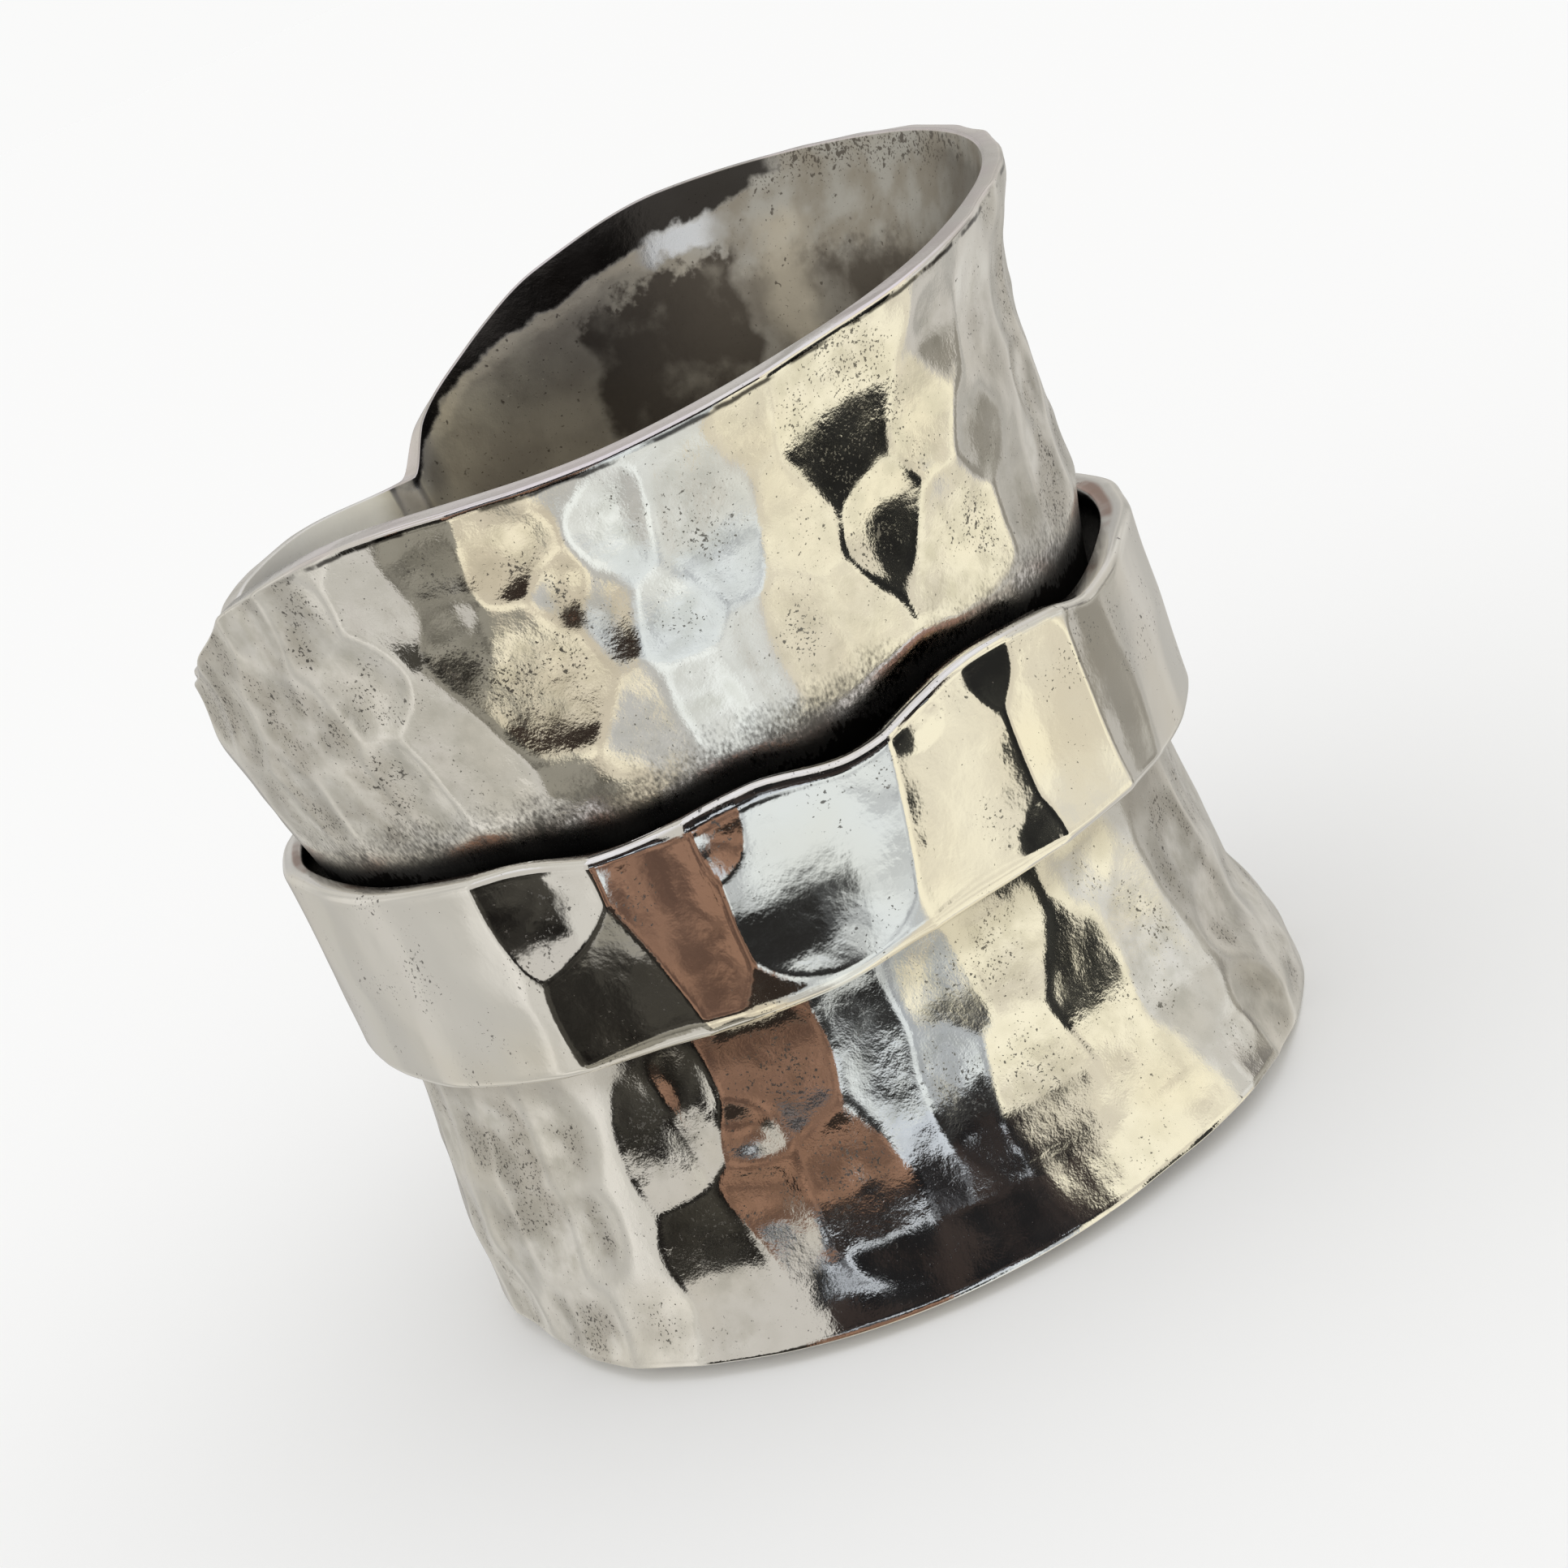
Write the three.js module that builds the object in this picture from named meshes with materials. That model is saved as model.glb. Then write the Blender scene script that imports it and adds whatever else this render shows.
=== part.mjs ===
// A wide hammered silver band ring: a flared base band with a loose band turning round its waist.
// Millimetres, +Z up. The ring's axis is Z, and it stands on its lower rim with the origin at its middle.
import * as THREE from 'three';

// ---- driving dimensions -------------------------------------------------------------------

const WALL = 0.75; // thickness of the base band's sheet
const RIM_WALL = 0.6; // the sheet is hammered thinner towards both rims
const RIM_THINNING_REACH = 3; // how far from a rim the sheet starts to thin
const EDGE_ROUND = 0.1; // how much each cut edge is eased

// The base band's outside: wide at both rims and drawn in at the waist, where the loose band sits.
// It was bent up by hand, so its middle drifts a little along X on the way up.
const OUTSIDE = [
  { height: 0.0, radius: 10.62, drift: 0.12 },
  { height: 0.9, radius: 10.62, drift: 0.14 },
  { height: 1.9, radius: 10.48, drift: 0.0 },
  { height: 3.2, radius: 10.24, drift: -0.16 },
  { height: 5.8, radius: 9.95, drift: -0.12 },
  { height: 7.2, radius: 9.77, drift: -0.12 },
  { height: 8.6, radius: 9.55, drift: -0.1 },
  { height: 12.0, radius: 9.55, drift: -0.1 },
  { height: 12.9, radius: 9.86, drift: -0.1 },
  { height: 13.6, radius: 10.18, drift: -0.12 },
  { height: 14.3, radius: 10.28, drift: -0.19 },
  { height: 15.8, radius: 10.4, drift: -0.26 },
  { height: 17.2, radius: 10.46, drift: -0.22 },
  { height: 18.6, radius: 10.63, drift: -0.15 },
  { height: 20.4, radius: 11.04, drift: 0.04 },
  { height: 22.0, radius: 11.32, drift: 0.1 },
];

// The upper rim was cut by hand: high at the back, dipping at the left, level along the front.
// Angles run anticlockwise from +X, seen from above.
const UPPER_RIM = [
  { angle: 0, height: 21.2 },
  { angle: 30, height: 21.4 },
  { angle: 68, height: 21.68 },
  { angle: 88, height: 21.05 },
  { angle: 104, height: 19.65 },
  { angle: 112, height: 18.8 },
  { angle: 117.5, height: 17.7 },
  { angle: 136, height: 17.9 },
  { angle: 152, height: 17.75 },
  { angle: 168, height: 17.2 },
  { angle: 186, height: 17.2 },
  { angle: 196, height: 17.65 },
  { angle: 208, height: 18.6 },
  { angle: 219, height: 19.35 },
  { angle: 243, height: 20.05 },
  { angle: 270, height: 19.8 },
  { angle: 298, height: 20.05 },
  { angle: 326, height: 20.6 },
  { angle: 360, height: 21.2 },
];

// The lower rim lies flat, but for one place at the left where it was knocked up a little.
const LOWER_RIM = [
  { angle: 0, height: 0 },
  { angle: 165, height: 0 },
  { angle: 186, height: 0.35 },
  { angle: 202, height: 0.45 },
  { angle: 216, height: 0.12 },
  { angle: 226, height: 0 },
  { angle: 360, height: 0 },
];

// The sheet's two ends are lapped and soldered: the inner end stands proud inside, up to its cut edge.
const LAP = { angle: 117.5, length: 40, bevel: 4, step: 0.6 };

// The loose band: a narrower hammered hoop, round inside, and a little tighter at its lower edge.
// Its upper edge is thicker towards +X than towards -X.
const LOOSE = { innerRadius: 10.15, lowerRadius: 10.72, upperRadius: 10.85, upperDrift: 0.1 };

// Its two edges wander up and down round the ring.
const LOOSE_EDGES = [
  { angle: 0, lower: 7.75, upper: 12.45 },
  { angle: 30, lower: 7.6, upper: 12.3 },
  { angle: 60, lower: 7.8, upper: 12.5 },
  { angle: 90, lower: 7.7, upper: 12.35 },
  { angle: 120, lower: 7.85, upper: 12.5 },
  { angle: 150, lower: 7.65, upper: 12.3 },
  { angle: 180, lower: 7.6, upper: 12.35 },
  { angle: 200, lower: 7.5, upper: 12.5 },
  { angle: 220, lower: 7.48, upper: 12.38 },
  { angle: 238, lower: 7.56, upper: 12.44 },
  { angle: 254, lower: 7.64, upper: 12.15 },
  { angle: 270, lower: 7.62, upper: 12.38 },
  { angle: 282, lower: 7.8, upper: 12.05 },
  { angle: 300, lower: 7.8, upper: 12.7 },
  { angle: 314, lower: 7.8, upper: 12.45 },
  { angle: 322, lower: 7.8, upper: 12.12 },
  { angle: 340, lower: 7.7, upper: 12.4 },
  { angle: 360, lower: 7.75, upper: 12.45 },
];

// Rows of hammer dents. Each dent is a shallow bowl, and neighbours meet in a ridge.
const BASE_DENTS = [
  { height: 1.3, around: 24, width: 2.9, tall: 3.0, depth: 0.2 },
  { height: 3.7, around: 25, width: 2.7, tall: 3.0, depth: 0.2 },
  { height: 6.0, around: 26, width: 2.6, tall: 2.8, depth: 0.18 },
  { height: 14.4, around: 26, width: 2.7, tall: 2.8, depth: 0.16 },
  { height: 16.7, around: 25, width: 2.8, tall: 3.1, depth: 0.2 },
  { height: 19.1, around: 24, width: 3.0, tall: 3.2, depth: 0.2 },
  { height: 21.4, around: 24, width: 3.0, tall: 3.2, depth: 0.16 },
];
const LOOSE_DENTS = [
  { height: 8.8, around: 17, width: 4.2, tall: 3.2, depth: 0.16 },
  { height: 11.3, around: 18, width: 4.0, tall: 3.2, depth: 0.16 },
];
const DENT_SCATTER = 0.3; // how far a dent strays from its even place, as a share of its size
const SMOOTH_WAIST = { from: 7.4, to: 13.2, fade: 0.8 }; // no hammering under the loose band
const FOOT_DENTS = 0.4; // the share of their depth that the dents keep at the foot

const BASE_COLUMNS = 104;
const BASE_OUTSIDE_ROWS = 24;
const BASE_INSIDE_ROWS = 8;
const LOOSE_COLUMNS = 84;
const LOOSE_OUTSIDE_ROWS = 8;

const silver = new THREE.MeshStandardMaterial({ color: 0xcfcbc2, roughness: 0.18, metalness: 1 });
const burnishedSilver = new THREE.MeshStandardMaterial({ color: 0xdad6cf, roughness: 0.1, metalness: 1 });

// ---- small helpers ------------------------------------------------------------------------

// Reads a smooth curve off a table: a cubic between neighbouring rows that never overshoots them.
function readTable(rows, key, value, at) {
  const last = rows.length - 2;
  const i = Math.min(last, Math.max(0, rows.findIndex((row) => row[key] > at) - 1));
  const here = at >= rows[last + 1][key] ? last : i;
  const slope = (k) => (rows[k + 1][value] - rows[k][value]) / (rows[k + 1][key] - rows[k][key]);
  const tangent = (k) => {
    if (k === 0) return slope(0);
    if (k === last + 1) return slope(last);
    const before = slope(k - 1);
    const after = slope(k);
    return before * after <= 0 ? 0 : (2 * before * after) / (before + after);
  };
  const span = rows[here + 1][key] - rows[here][key];
  const t = (at - rows[here][key]) / span;
  const start = rows[here][value];
  const end = rows[here + 1][value];
  return (
    start * (2 * t ** 3 - 3 * t ** 2 + 1) +
    end * (3 * t ** 2 - 2 * t ** 3) +
    span * (tangent(here) * (t ** 3 - 2 * t ** 2 + t) + tangent(here + 1) * (t ** 3 - t ** 2))
  );
}

// A repeatable stray number from -1 to 1 for dent j of row i.
function stray(i, j, kind) {
  const seed = Math.sin(i * 12.9898 + j * 78.233 + kind * 37.719) * 43758.5453;
  return 2 * (seed - Math.floor(seed)) - 1;
}

const smoothStep = (t) => THREE.MathUtils.smoothstep(t, 0, 1);

// Places the dents of a hammered wall: rows staggered by half a dent, each strayed a little.
function placeDents(rows) {
  return rows.flatMap((row, i) =>
    Array.from({ length: row.around }, (_, j) => ({
      angle: (360 / row.around) * (j + (i % 2) / 2 + DENT_SCATTER * stray(i, j, 1)),
      height: row.height + DENT_SCATTER * row.tall * 0.5 * stray(i, j, 2),
      halfWidth: (row.width / 2) * (1.15 + 0.2 * stray(i, j, 3)),
      halfTall: (row.tall / 2) * (1.15 + 0.2 * stray(i, j, 4)),
      depth: row.depth * (1 + 0.3 * stray(i, j, 5)),
    })),
  );
}

// How deep the hammering is at a place on a wall: the deepest of the bowls that reach it.
function hammeredDepth(dents, angle, height, radius) {
  let depth = 0;
  for (const dent of dents) {
    const turn = THREE.MathUtils.euclideanModulo(angle - dent.angle + 180, 360) - 180;
    const across = (THREE.MathUtils.degToRad(turn) * radius) / dent.halfWidth;
    const along = (height - dent.height) / dent.halfTall;
    depth = Math.max(depth, dent.depth * (1 - across ** 2 - along ** 2));
  }
  return depth;
}

// Joins equal closed loops of points, one for each column round the ring, into one closed skin.
function skinOf(loops) {
  const size = loops[0].length;
  const index = [];
  loops.forEach((_, column) => {
    const next = (column + 1) % loops.length;
    for (let row = 0; row < size; row += 1) {
      const after = (row + 1) % size;
      const [a, b] = [column * size + row, next * size + row];
      const [c, d] = [next * size + after, column * size + after];
      index.push(a, b, c, a, c, d);
    }
  });
  const geometry = new THREE.BufferGeometry();
  geometry.setAttribute('position', new THREE.Float32BufferAttribute(loops.flat(2), 3));
  geometry.setIndex(index);
  geometry.computeVertexNormals();
  return geometry;
}

function atAngle(angle, radius, height, drift = 0) {
  const turn = THREE.MathUtils.degToRad(angle);
  return [drift + radius * Math.cos(turn), radius * Math.sin(turn), height];
}

const evenSteps = (count, from, to) =>
  Array.from({ length: count }, (_, i) => from + ((to - from) * i) / (count - 1));

// ---- the base band ------------------------------------------------------------------------

const outsideRadius = (height) => readTable(OUTSIDE, 'height', 'radius', height);
const outsideDrift = (height) => readTable(OUTSIDE, 'height', 'drift', height);
const upperRim = (angle) => readTable(UPPER_RIM, 'angle', 'height', angle);
const lowerRim = (angle) => readTable(LOWER_RIM, 'angle', 'height', angle);

// How far the wall leans out for each millimetre of height.
function outsideLean(height) {
  const step = 0.05;
  return (outsideRadius(height + step) - outsideRadius(height - step)) / (2 * step);
}

// The extra thickness inside, along the lap: it grows towards the cut end and drops over the bevel.
function lapStep(angle) {
  const before = LAP.angle - angle;
  if (before >= 0) return LAP.step * smoothStep(1 - before / LAP.length);
  return LAP.step * Math.max(0, 1 + before / LAP.bevel);
}

// The hammering fades out under the loose band and grows shallow at the foot.
function hammeringShare(height) {
  const inWaist = Math.min(height - SMOOTH_WAIST.from, SMOOTH_WAIST.to - height);
  const atFoot = FOOT_DENTS + (1 - FOOT_DENTS) * smoothStep(height / SMOOTH_WAIST.fade);
  return (1 - smoothStep(inWaist / SMOOTH_WAIST.fade + 0.5)) * atFoot;
}

function baseBandLoop(angle, dents) {
  const top = upperRim(angle);
  const bottom = lowerRim(angle);
  const outside = evenSteps(BASE_OUTSIDE_ROWS, bottom + EDGE_ROUND, top).map((height) => {
    const radius = outsideRadius(height);
    const depth = hammeredDepth(dents, angle, height, radius) * hammeringShare(height);
    return [radius - depth, height];
  });
  const inside = evenSteps(BASE_INSIDE_ROWS, top, bottom + EDGE_ROUND).map((height) => {
    const toRim = Math.min(height - bottom, top - height) / RIM_THINNING_REACH;
    const thickness = RIM_WALL + (WALL - RIM_WALL) * smoothStep(toRim) + lapStep(angle);
    const lean = outsideLean(height);
    const slant = Math.hypot(1, lean);
    return [outsideRadius(height) - thickness / slant, height + Math.max(0, (thickness * lean) / slant)];
  });
  const rimOut = outside.at(-1);
  const rimIn = inside[0];
  const easedRim = [
    [rimOut[0] - EDGE_ROUND, rimOut[1] + EDGE_ROUND],
    [rimIn[0] + EDGE_ROUND, rimIn[1] + EDGE_ROUND / 2],
  ];
  const foot = [
    [inside.at(-1)[0] + EDGE_ROUND, bottom],
    [outside[0][0] - EDGE_ROUND, bottom],
  ];
  return [...outside, ...easedRim, ...inside, ...foot].map(([radius, height]) =>
    atAngle(angle, radius, height, outsideDrift(height)),
  );
}

function baseBand() {
  const dents = placeDents(BASE_DENTS);
  const angles = evenSteps(BASE_COLUMNS + 1, 0, 360).slice(0, -1);
  const lapColumns = [LAP.angle, LAP.angle + LAP.bevel];
  const spacing = 360 / BASE_COLUMNS;
  const kept = angles.filter((angle) => lapColumns.every((at) => Math.abs(angle - at) > spacing / 3));
  const columns = [...kept, ...lapColumns].sort((a, b) => a - b);
  const mesh = new THREE.Mesh(skinOf(columns.map((angle) => baseBandLoop(angle, dents))), silver);
  mesh.name = 'base_band';
  return mesh;
}

// ---- the loose band -----------------------------------------------------------------------

function looseBandLoop(angle, dents) {
  const low = readTable(LOOSE_EDGES, 'angle', 'lower', angle);
  const high = readTable(LOOSE_EDGES, 'angle', 'upper', angle);
  const { innerRadius, lowerRadius, upperRadius, upperDrift } = LOOSE;
  const outside = evenSteps(LOOSE_OUTSIDE_ROWS, low + EDGE_ROUND, high - EDGE_ROUND).map((height) => {
    const share = THREE.MathUtils.mapLinear(height, low, high, 0, 1);
    const thicker = upperDrift * share * Math.cos(THREE.MathUtils.degToRad(angle));
    const radius = THREE.MathUtils.lerp(lowerRadius, upperRadius, share) + thicker;
    return [radius - hammeredDepth(dents, angle, height, radius), height];
  });
  const upperOut = outside[outside.length - 1][0];
  const loop = [
    ...outside,
    [upperOut - EDGE_ROUND, high],
    [innerRadius + EDGE_ROUND, high],
    [innerRadius, high - EDGE_ROUND],
    [innerRadius, low + EDGE_ROUND],
    [innerRadius + EDGE_ROUND, low],
    [outside[0][0] - EDGE_ROUND, low],
  ];
  return loop.map(([radius, height]) => atAngle(angle, radius, height));
}

function looseBand() {
  const dents = placeDents(LOOSE_DENTS);
  const angles = evenSteps(LOOSE_COLUMNS + 1, 0, 360).slice(0, -1);
  const mesh = new THREE.Mesh(skinOf(angles.map((angle) => looseBandLoop(angle, dents))), burnishedSilver);
  mesh.name = 'loose_band';
  return mesh;
}

const group = new THREE.Group();
group.add(baseBand(), looseBand());

export default group;
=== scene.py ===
# %% [markdown]
# # A wide hammered silver ring with a loose band
# The ring is two pieces of silver. The base band is one sheet, bent round, lapped and soldered,
# then hammered and spread wide at both rims. The loose band is a narrow hoop that turns round its
# waist. Here both get their real surface: every hammer mark is a shape, and the finish is a metal
# shader. Everything is worked out in millimetres and goes into Blender in metres.

# %% Load the frame
import math

import bpy
import numpy as np
from mathutils import Matrix, Vector


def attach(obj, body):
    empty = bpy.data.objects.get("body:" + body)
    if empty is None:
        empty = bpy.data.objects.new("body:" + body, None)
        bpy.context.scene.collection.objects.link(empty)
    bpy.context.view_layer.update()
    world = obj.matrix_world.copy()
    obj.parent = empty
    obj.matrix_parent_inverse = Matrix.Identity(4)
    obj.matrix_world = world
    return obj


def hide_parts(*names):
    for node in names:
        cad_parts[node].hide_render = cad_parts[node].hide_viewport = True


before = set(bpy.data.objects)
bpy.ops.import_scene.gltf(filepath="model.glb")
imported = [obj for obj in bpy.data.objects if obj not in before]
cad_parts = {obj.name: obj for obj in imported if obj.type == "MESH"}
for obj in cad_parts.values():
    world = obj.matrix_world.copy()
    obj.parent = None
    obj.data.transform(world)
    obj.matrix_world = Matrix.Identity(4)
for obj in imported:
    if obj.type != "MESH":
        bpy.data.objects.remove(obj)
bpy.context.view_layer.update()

MM = 0.001

# %% [markdown]
# ## The camera
# A ring is small, so the camera stands close by, with a long lens that keeps the two rims almost
# parallel. It stands in front and a little above, and it's rolled, so the ring seems to lean. A camera
# looks along its own -Z, so its matrix is built from three axes: right, up and back. Three turning
# angles would do as well, but a roll round the line of sight is plainer as axes.

# %% Camera
AIM = Vector((0.85, 0.0, 8.9)) * MM
CAMERA_DISTANCE = 75 * MM
CAMERA_ELEVATION = math.radians(17)
CAMERA_ROLL = math.radians(23.8)
LENS = 71.96
NEAREST_SEEN = 5 * MM

eye = Vector((0, -CAMERA_DISTANCE * math.cos(CAMERA_ELEVATION),
              AIM.z + CAMERA_DISTANCE * math.sin(CAMERA_ELEVATION)))
forward = (AIM - eye).normalized()
level = forward.cross(Vector((0, 0, 1))).normalized()
upright = level.cross(forward)
right = math.cos(CAMERA_ROLL) * level - math.sin(CAMERA_ROLL) * upright
up = math.sin(CAMERA_ROLL) * level + math.cos(CAMERA_ROLL) * upright

camera_data = bpy.data.cameras.new("camera")
camera_data.lens = LENS
camera_data.clip_start = NEAREST_SEEN
camera = bpy.data.objects.new("camera", camera_data)
turned = Matrix((right, up, -forward)).transposed().to_4x4()
camera.matrix_world = Matrix.Translation(eye) @ turned
bpy.context.collection.objects.link(camera)
bpy.context.scene.camera = camera
print("camera at", [round(v / MM, 1) for v in eye], "mm")

# %% [markdown]
# ## Curves through tables
# A hand-made shape has no single formula, but its profile is smooth. So the sizes are kept in short
# tables, and a curve is drawn through their rows. A plain spline would swing past the rows; this one
# takes the harmonic mean of neighbouring slopes as its slope, which keeps it between them.

# %% A smooth curve through a table


def smooth_curve(rows, column, at):
    """Reads a table of (place, value, ...) rows at many places at once.

    Between two rows the value is a cubic that starts and ends with the slopes at those rows; a
    row's slope is the harmonic mean of the slopes on its two sides, or level where they disagree.
    """
    table = np.array(rows, dtype=float)
    place, value = table[:, 0], table[:, column]
    slope = np.diff(value) / np.diff(place)
    before, after = slope[:-1], slope[1:]
    agree = before * after > 0
    middle = np.where(agree, 2 * before * after / np.where(agree, before + after, 1), 0)
    tangent = np.concatenate([slope[:1], middle, slope[-1:]])
    i = np.clip(np.searchsorted(place, at, side="right") - 1, 0, len(place) - 2)
    span = place[i + 1] - place[i]
    t = (at - place[i]) / span
    return (value[i] * (2 * t**3 - 3 * t**2 + 1) + value[i + 1] * (3 * t**2 - 2 * t**3)
            + span * (tangent[i] * (t**3 - 2 * t**2 + t) + tangent[i + 1] * (t**3 - t**2)))


def ease(t):
    """Goes from 0 to 1 as t does, with a level start and end: three t squared less two t cubed."""
    t = np.clip(t, 0, 1)
    return t * t * (3 - 2 * t)


print("an eased step, in quarters:", ease(np.linspace(0, 1, 5)).round(2))

# %% [markdown]
# ## The base band's profile
# The wall is wide at both rims and drawn in at the waist. Its two rims were cut by hand, so their
# heights change round the ring. Angles are in degrees, anticlockwise from +X seen from above, and
# the front is at 270. The drift moves a level of the wall sideways as a whole. A Screw modifier
# could turn one profile round the axis, but then both rims would be level and all sides alike.

# %% Profile tables
OUTSIDE = [  # height, radius, drift along X
    (0.0, 10.62, 0.12), (0.9, 10.62, 0.14), (1.9, 10.48, 0.0), (3.2, 10.24, -0.16),
    (5.8, 9.95, -0.12), (7.2, 9.77, -0.12), (8.6, 9.55, -0.1), (11.2, 9.58, -0.1),
    (12.0, 9.74, -0.1), (12.9, 9.95, -0.1), (13.6, 10.17, -0.12), (14.3, 10.28, -0.19),
    (15.8, 10.4, -0.26), (17.2, 10.46, -0.22), (18.6, 10.63, -0.15), (20.4, 11.04, 0.04),
    (22.0, 11.32, 0.1),
]
UPPER_RIM = [  # angle, height
    (0, 21.0), (30, 21.38), (68, 21.68), (88, 21.05), (104, 19.65), (112, 18.8), (117.5, 17.7),
    (136, 17.9), (152, 17.75), (168, 17.12), (186, 17.1), (196, 17.55), (208, 18.5), (219, 19.3),
    (243, 20.05), (270, 19.8), (298, 20.05), (326, 20.5), (360, 21.0),
]
LOWER_RIM = [  # angle, height
    (0, 0), (165, 0), (186, 0.35), (202, 0.45), (216, 0.29), (230, 0.36), (244, 0.32), (262, 0.28),
    (282, 0.34), (294, 0.42), (311, 0.48), (320, 0.40), (331, 0.15), (345, 0), (360, 0),
]
rim_heights = [height for _, height in UPPER_RIM]
print("upper rim", min(rim_heights), "to", max(rim_heights), "mm above the floor")

# %% [markdown]
# ## Hammer marks
# Each blow of a rounded hammer leaves a shallow bowl, and where two bowls meet there's a ridge.
# The marks that are seen best, in front, are placed one by one. The others are rows of bowls,
# staggered like bricks and strayed a little, because a hand isn't a machine. A bump texture could
# draw them all, but the outline of the ring would stay smooth, so each mark is a real dip.

# %% Rows of marks
BASE_DENTS = [  # height, how many around, width, tall, depth
    (1.0, 34, 2.1, 2.3, 0.13), (3.2, 36, 2.1, 2.6, 0.16), (5.6, 35, 2.1, 2.6, 0.15),
    (14.4, 36, 2.1, 2.9, 0.16), (16.7, 35, 2.2, 2.9, 0.18), (19.0, 35, 2.3, 2.9, 0.18),
    (21.3, 34, 2.3, 2.8, 0.11),
]
LOOSE_DENTS = [(8.9, 22, 3.2, 3.4, 0.09), (11.3, 23, 3.1, 3.2, 0.09)]
CHARTED_BASE = (236, 330)
CHARTED_LOOSE = (235, 325)
print("rows of marks:", len(BASE_DENTS), "on the base band,", len(LOOSE_DENTS), "on the loose band")

# %% Marks placed one by one
BASE_CHART = [  # angle, height, width, tall, depth
    (241.5, 18.3, 1.8, 2.4, 0.07), (248.6, 19.1, 1.7, 2.0, 0.08), (248.0, 17.1, 1.6, 2.8, 0.10),
    (241.0, 15.0, 2.4, 3.8, 0.12), (254.7, 16.1, 3.0, 3.1, 0.145), (257.5, 18.9, 1.9, 2.2, 0.12),
    (261.3, 17.6, 1.3, 1.8, 0.10), (265.0, 16.8, 1.4, 2.2, 0.09), (269.5, 18.5, 1.7, 2.4, 0.10),
    (278.5, 18.0, 2.2, 3.6, 0.11), (272.0, 16.2, 1.8, 2.0, 0.10), (271.7, 14.2, 1.8, 2.4, 0.09),
    (264.0, 14.2, 1.8, 2.6, 0.08), (285.5, 14.4, 2.1, 2.8, 0.11), (291.7, 14.4, 1.9, 2.6, 0.09),
    (290.0, 16.9, 2.0, 3.0, 0.07), (286.0, 19.2, 1.8, 1.8, 0.07), (298.0, 19.0, 3.2, 4.8, 0.22),
    (307.5, 17.6, 2.6, 2.8, 0.13), (299.7, 16.0, 2.2, 3.0, 0.18), (308.5, 14.6, 3.2, 3.2, 0.17),
    (314.0, 18.7, 1.7, 2.0, 0.11), (318.5, 16.4, 1.8, 2.2, 0.11), (303.5, 19.7, 1.8, 1.6, 0.10),
    (324.0, 14.6, 2.0, 2.8, 0.10), (325.0, 18.4, 2.2, 3.0, 0.10), (294.0, 20.2, 1.8, 1.4, 0.08),
    (277.0, 20.2, 2.4, 1.6, 0.06), (264.5, 20.0, 2.0, 1.4, 0.06), (278.5, 14.3, 1.6, 2.6, 0.07),
    (241.3, 5.2, 1.8, 2.7, 0.13), (246.8, 5.9, 1.4, 2.6, 0.14), (253.6, 5.0, 1.6, 1.6, 0.13),
    (259.0, 6.1, 2.4, 2.8, 0.13), (243.5, 2.5, 2.2, 2.6, 0.13), (253.0, 3.3, 2.1, 2.4, 0.11),
    (264.0, 3.0, 2.4, 3.2, 0.13), (272.0, 5.0, 1.7, 5.2, 0.09), (310.0, 6.6, 2.2, 2.4, 0.09),
    (283.5, 6.1, 2.2, 2.7, 0.11), (280.0, 4.3, 1.8, 3.0, 0.12), (289.5, 3.5, 2.5, 3.0, 0.12),
    (293.2, 6.2, 2.6, 2.8, 0.12), (303.0, 4.5, 2.6, 3.4, 0.13), (303.5, 2.4, 2.8, 2.4, 0.07),
    (314.0, 4.0, 2.7, 4.6, 0.13), (289.0, 1.4, 2.2, 1.8, 0.08), (327.0, 5.2, 2.1, 3.0, 0.13),
    (325.5, 1.1, 2.0, 2.2, 0.15), (317.5, 1.2, 1.8, 2.0, 0.09), (295.5, 0.8, 2.0, 1.8, 0.07),
    (241.5, 0.9, 2.0, 1.6, 0.09),
]
LOOSE_CHART = [  # angle, height, width, tall, depth
    (242.5, 11.7, 2.6, 3.4, 0.24), (247.0, 8.9, 2.7, 4.4, 0.17), (257.5, 13.0, 2.6, 8.6, 0.30),
    (273.0, 11.5, 4.8, 5.9, 0.25), (293.5, 9.4, 3.4, 7.0, 0.215), (307.5, 9.6, 3.0, 5.6, 0.17),
    (265.2, 11.8, 2.4, 2.8, 0.25),
    (319.5, 10.0, 2.0, 4.4, 0.13), (297.6, 8.4, 2.6, 2.6, 0.18), (301.0, 11.9, 2.4, 1.8, 0.10),
    (291.4, 11.8, 1.8, 1.5, 0.18),
]
print("marks placed by hand:", len(BASE_CHART), "and", len(LOOSE_CHART))

# %% One table of marks
DENT_SCATTER = 0.3
ROW_SIZE, ROW_SIZE_STRAY, ROW_DEPTH_STRAY = 1.15, 0.2, 0.3
CHART_SIZE = 1.2  # bowls are wider than the marks, because they overlap


def stray_number(i, j, kind):
    """A repeatable stray number from -1 to 1: the fraction left of a large multiple of a sine."""
    seed = np.sin(i * 12.9898 + j * 78.233 + kind * 37.719) * 43758.5453
    return 2 * (seed - np.floor(seed)) - 1


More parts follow.
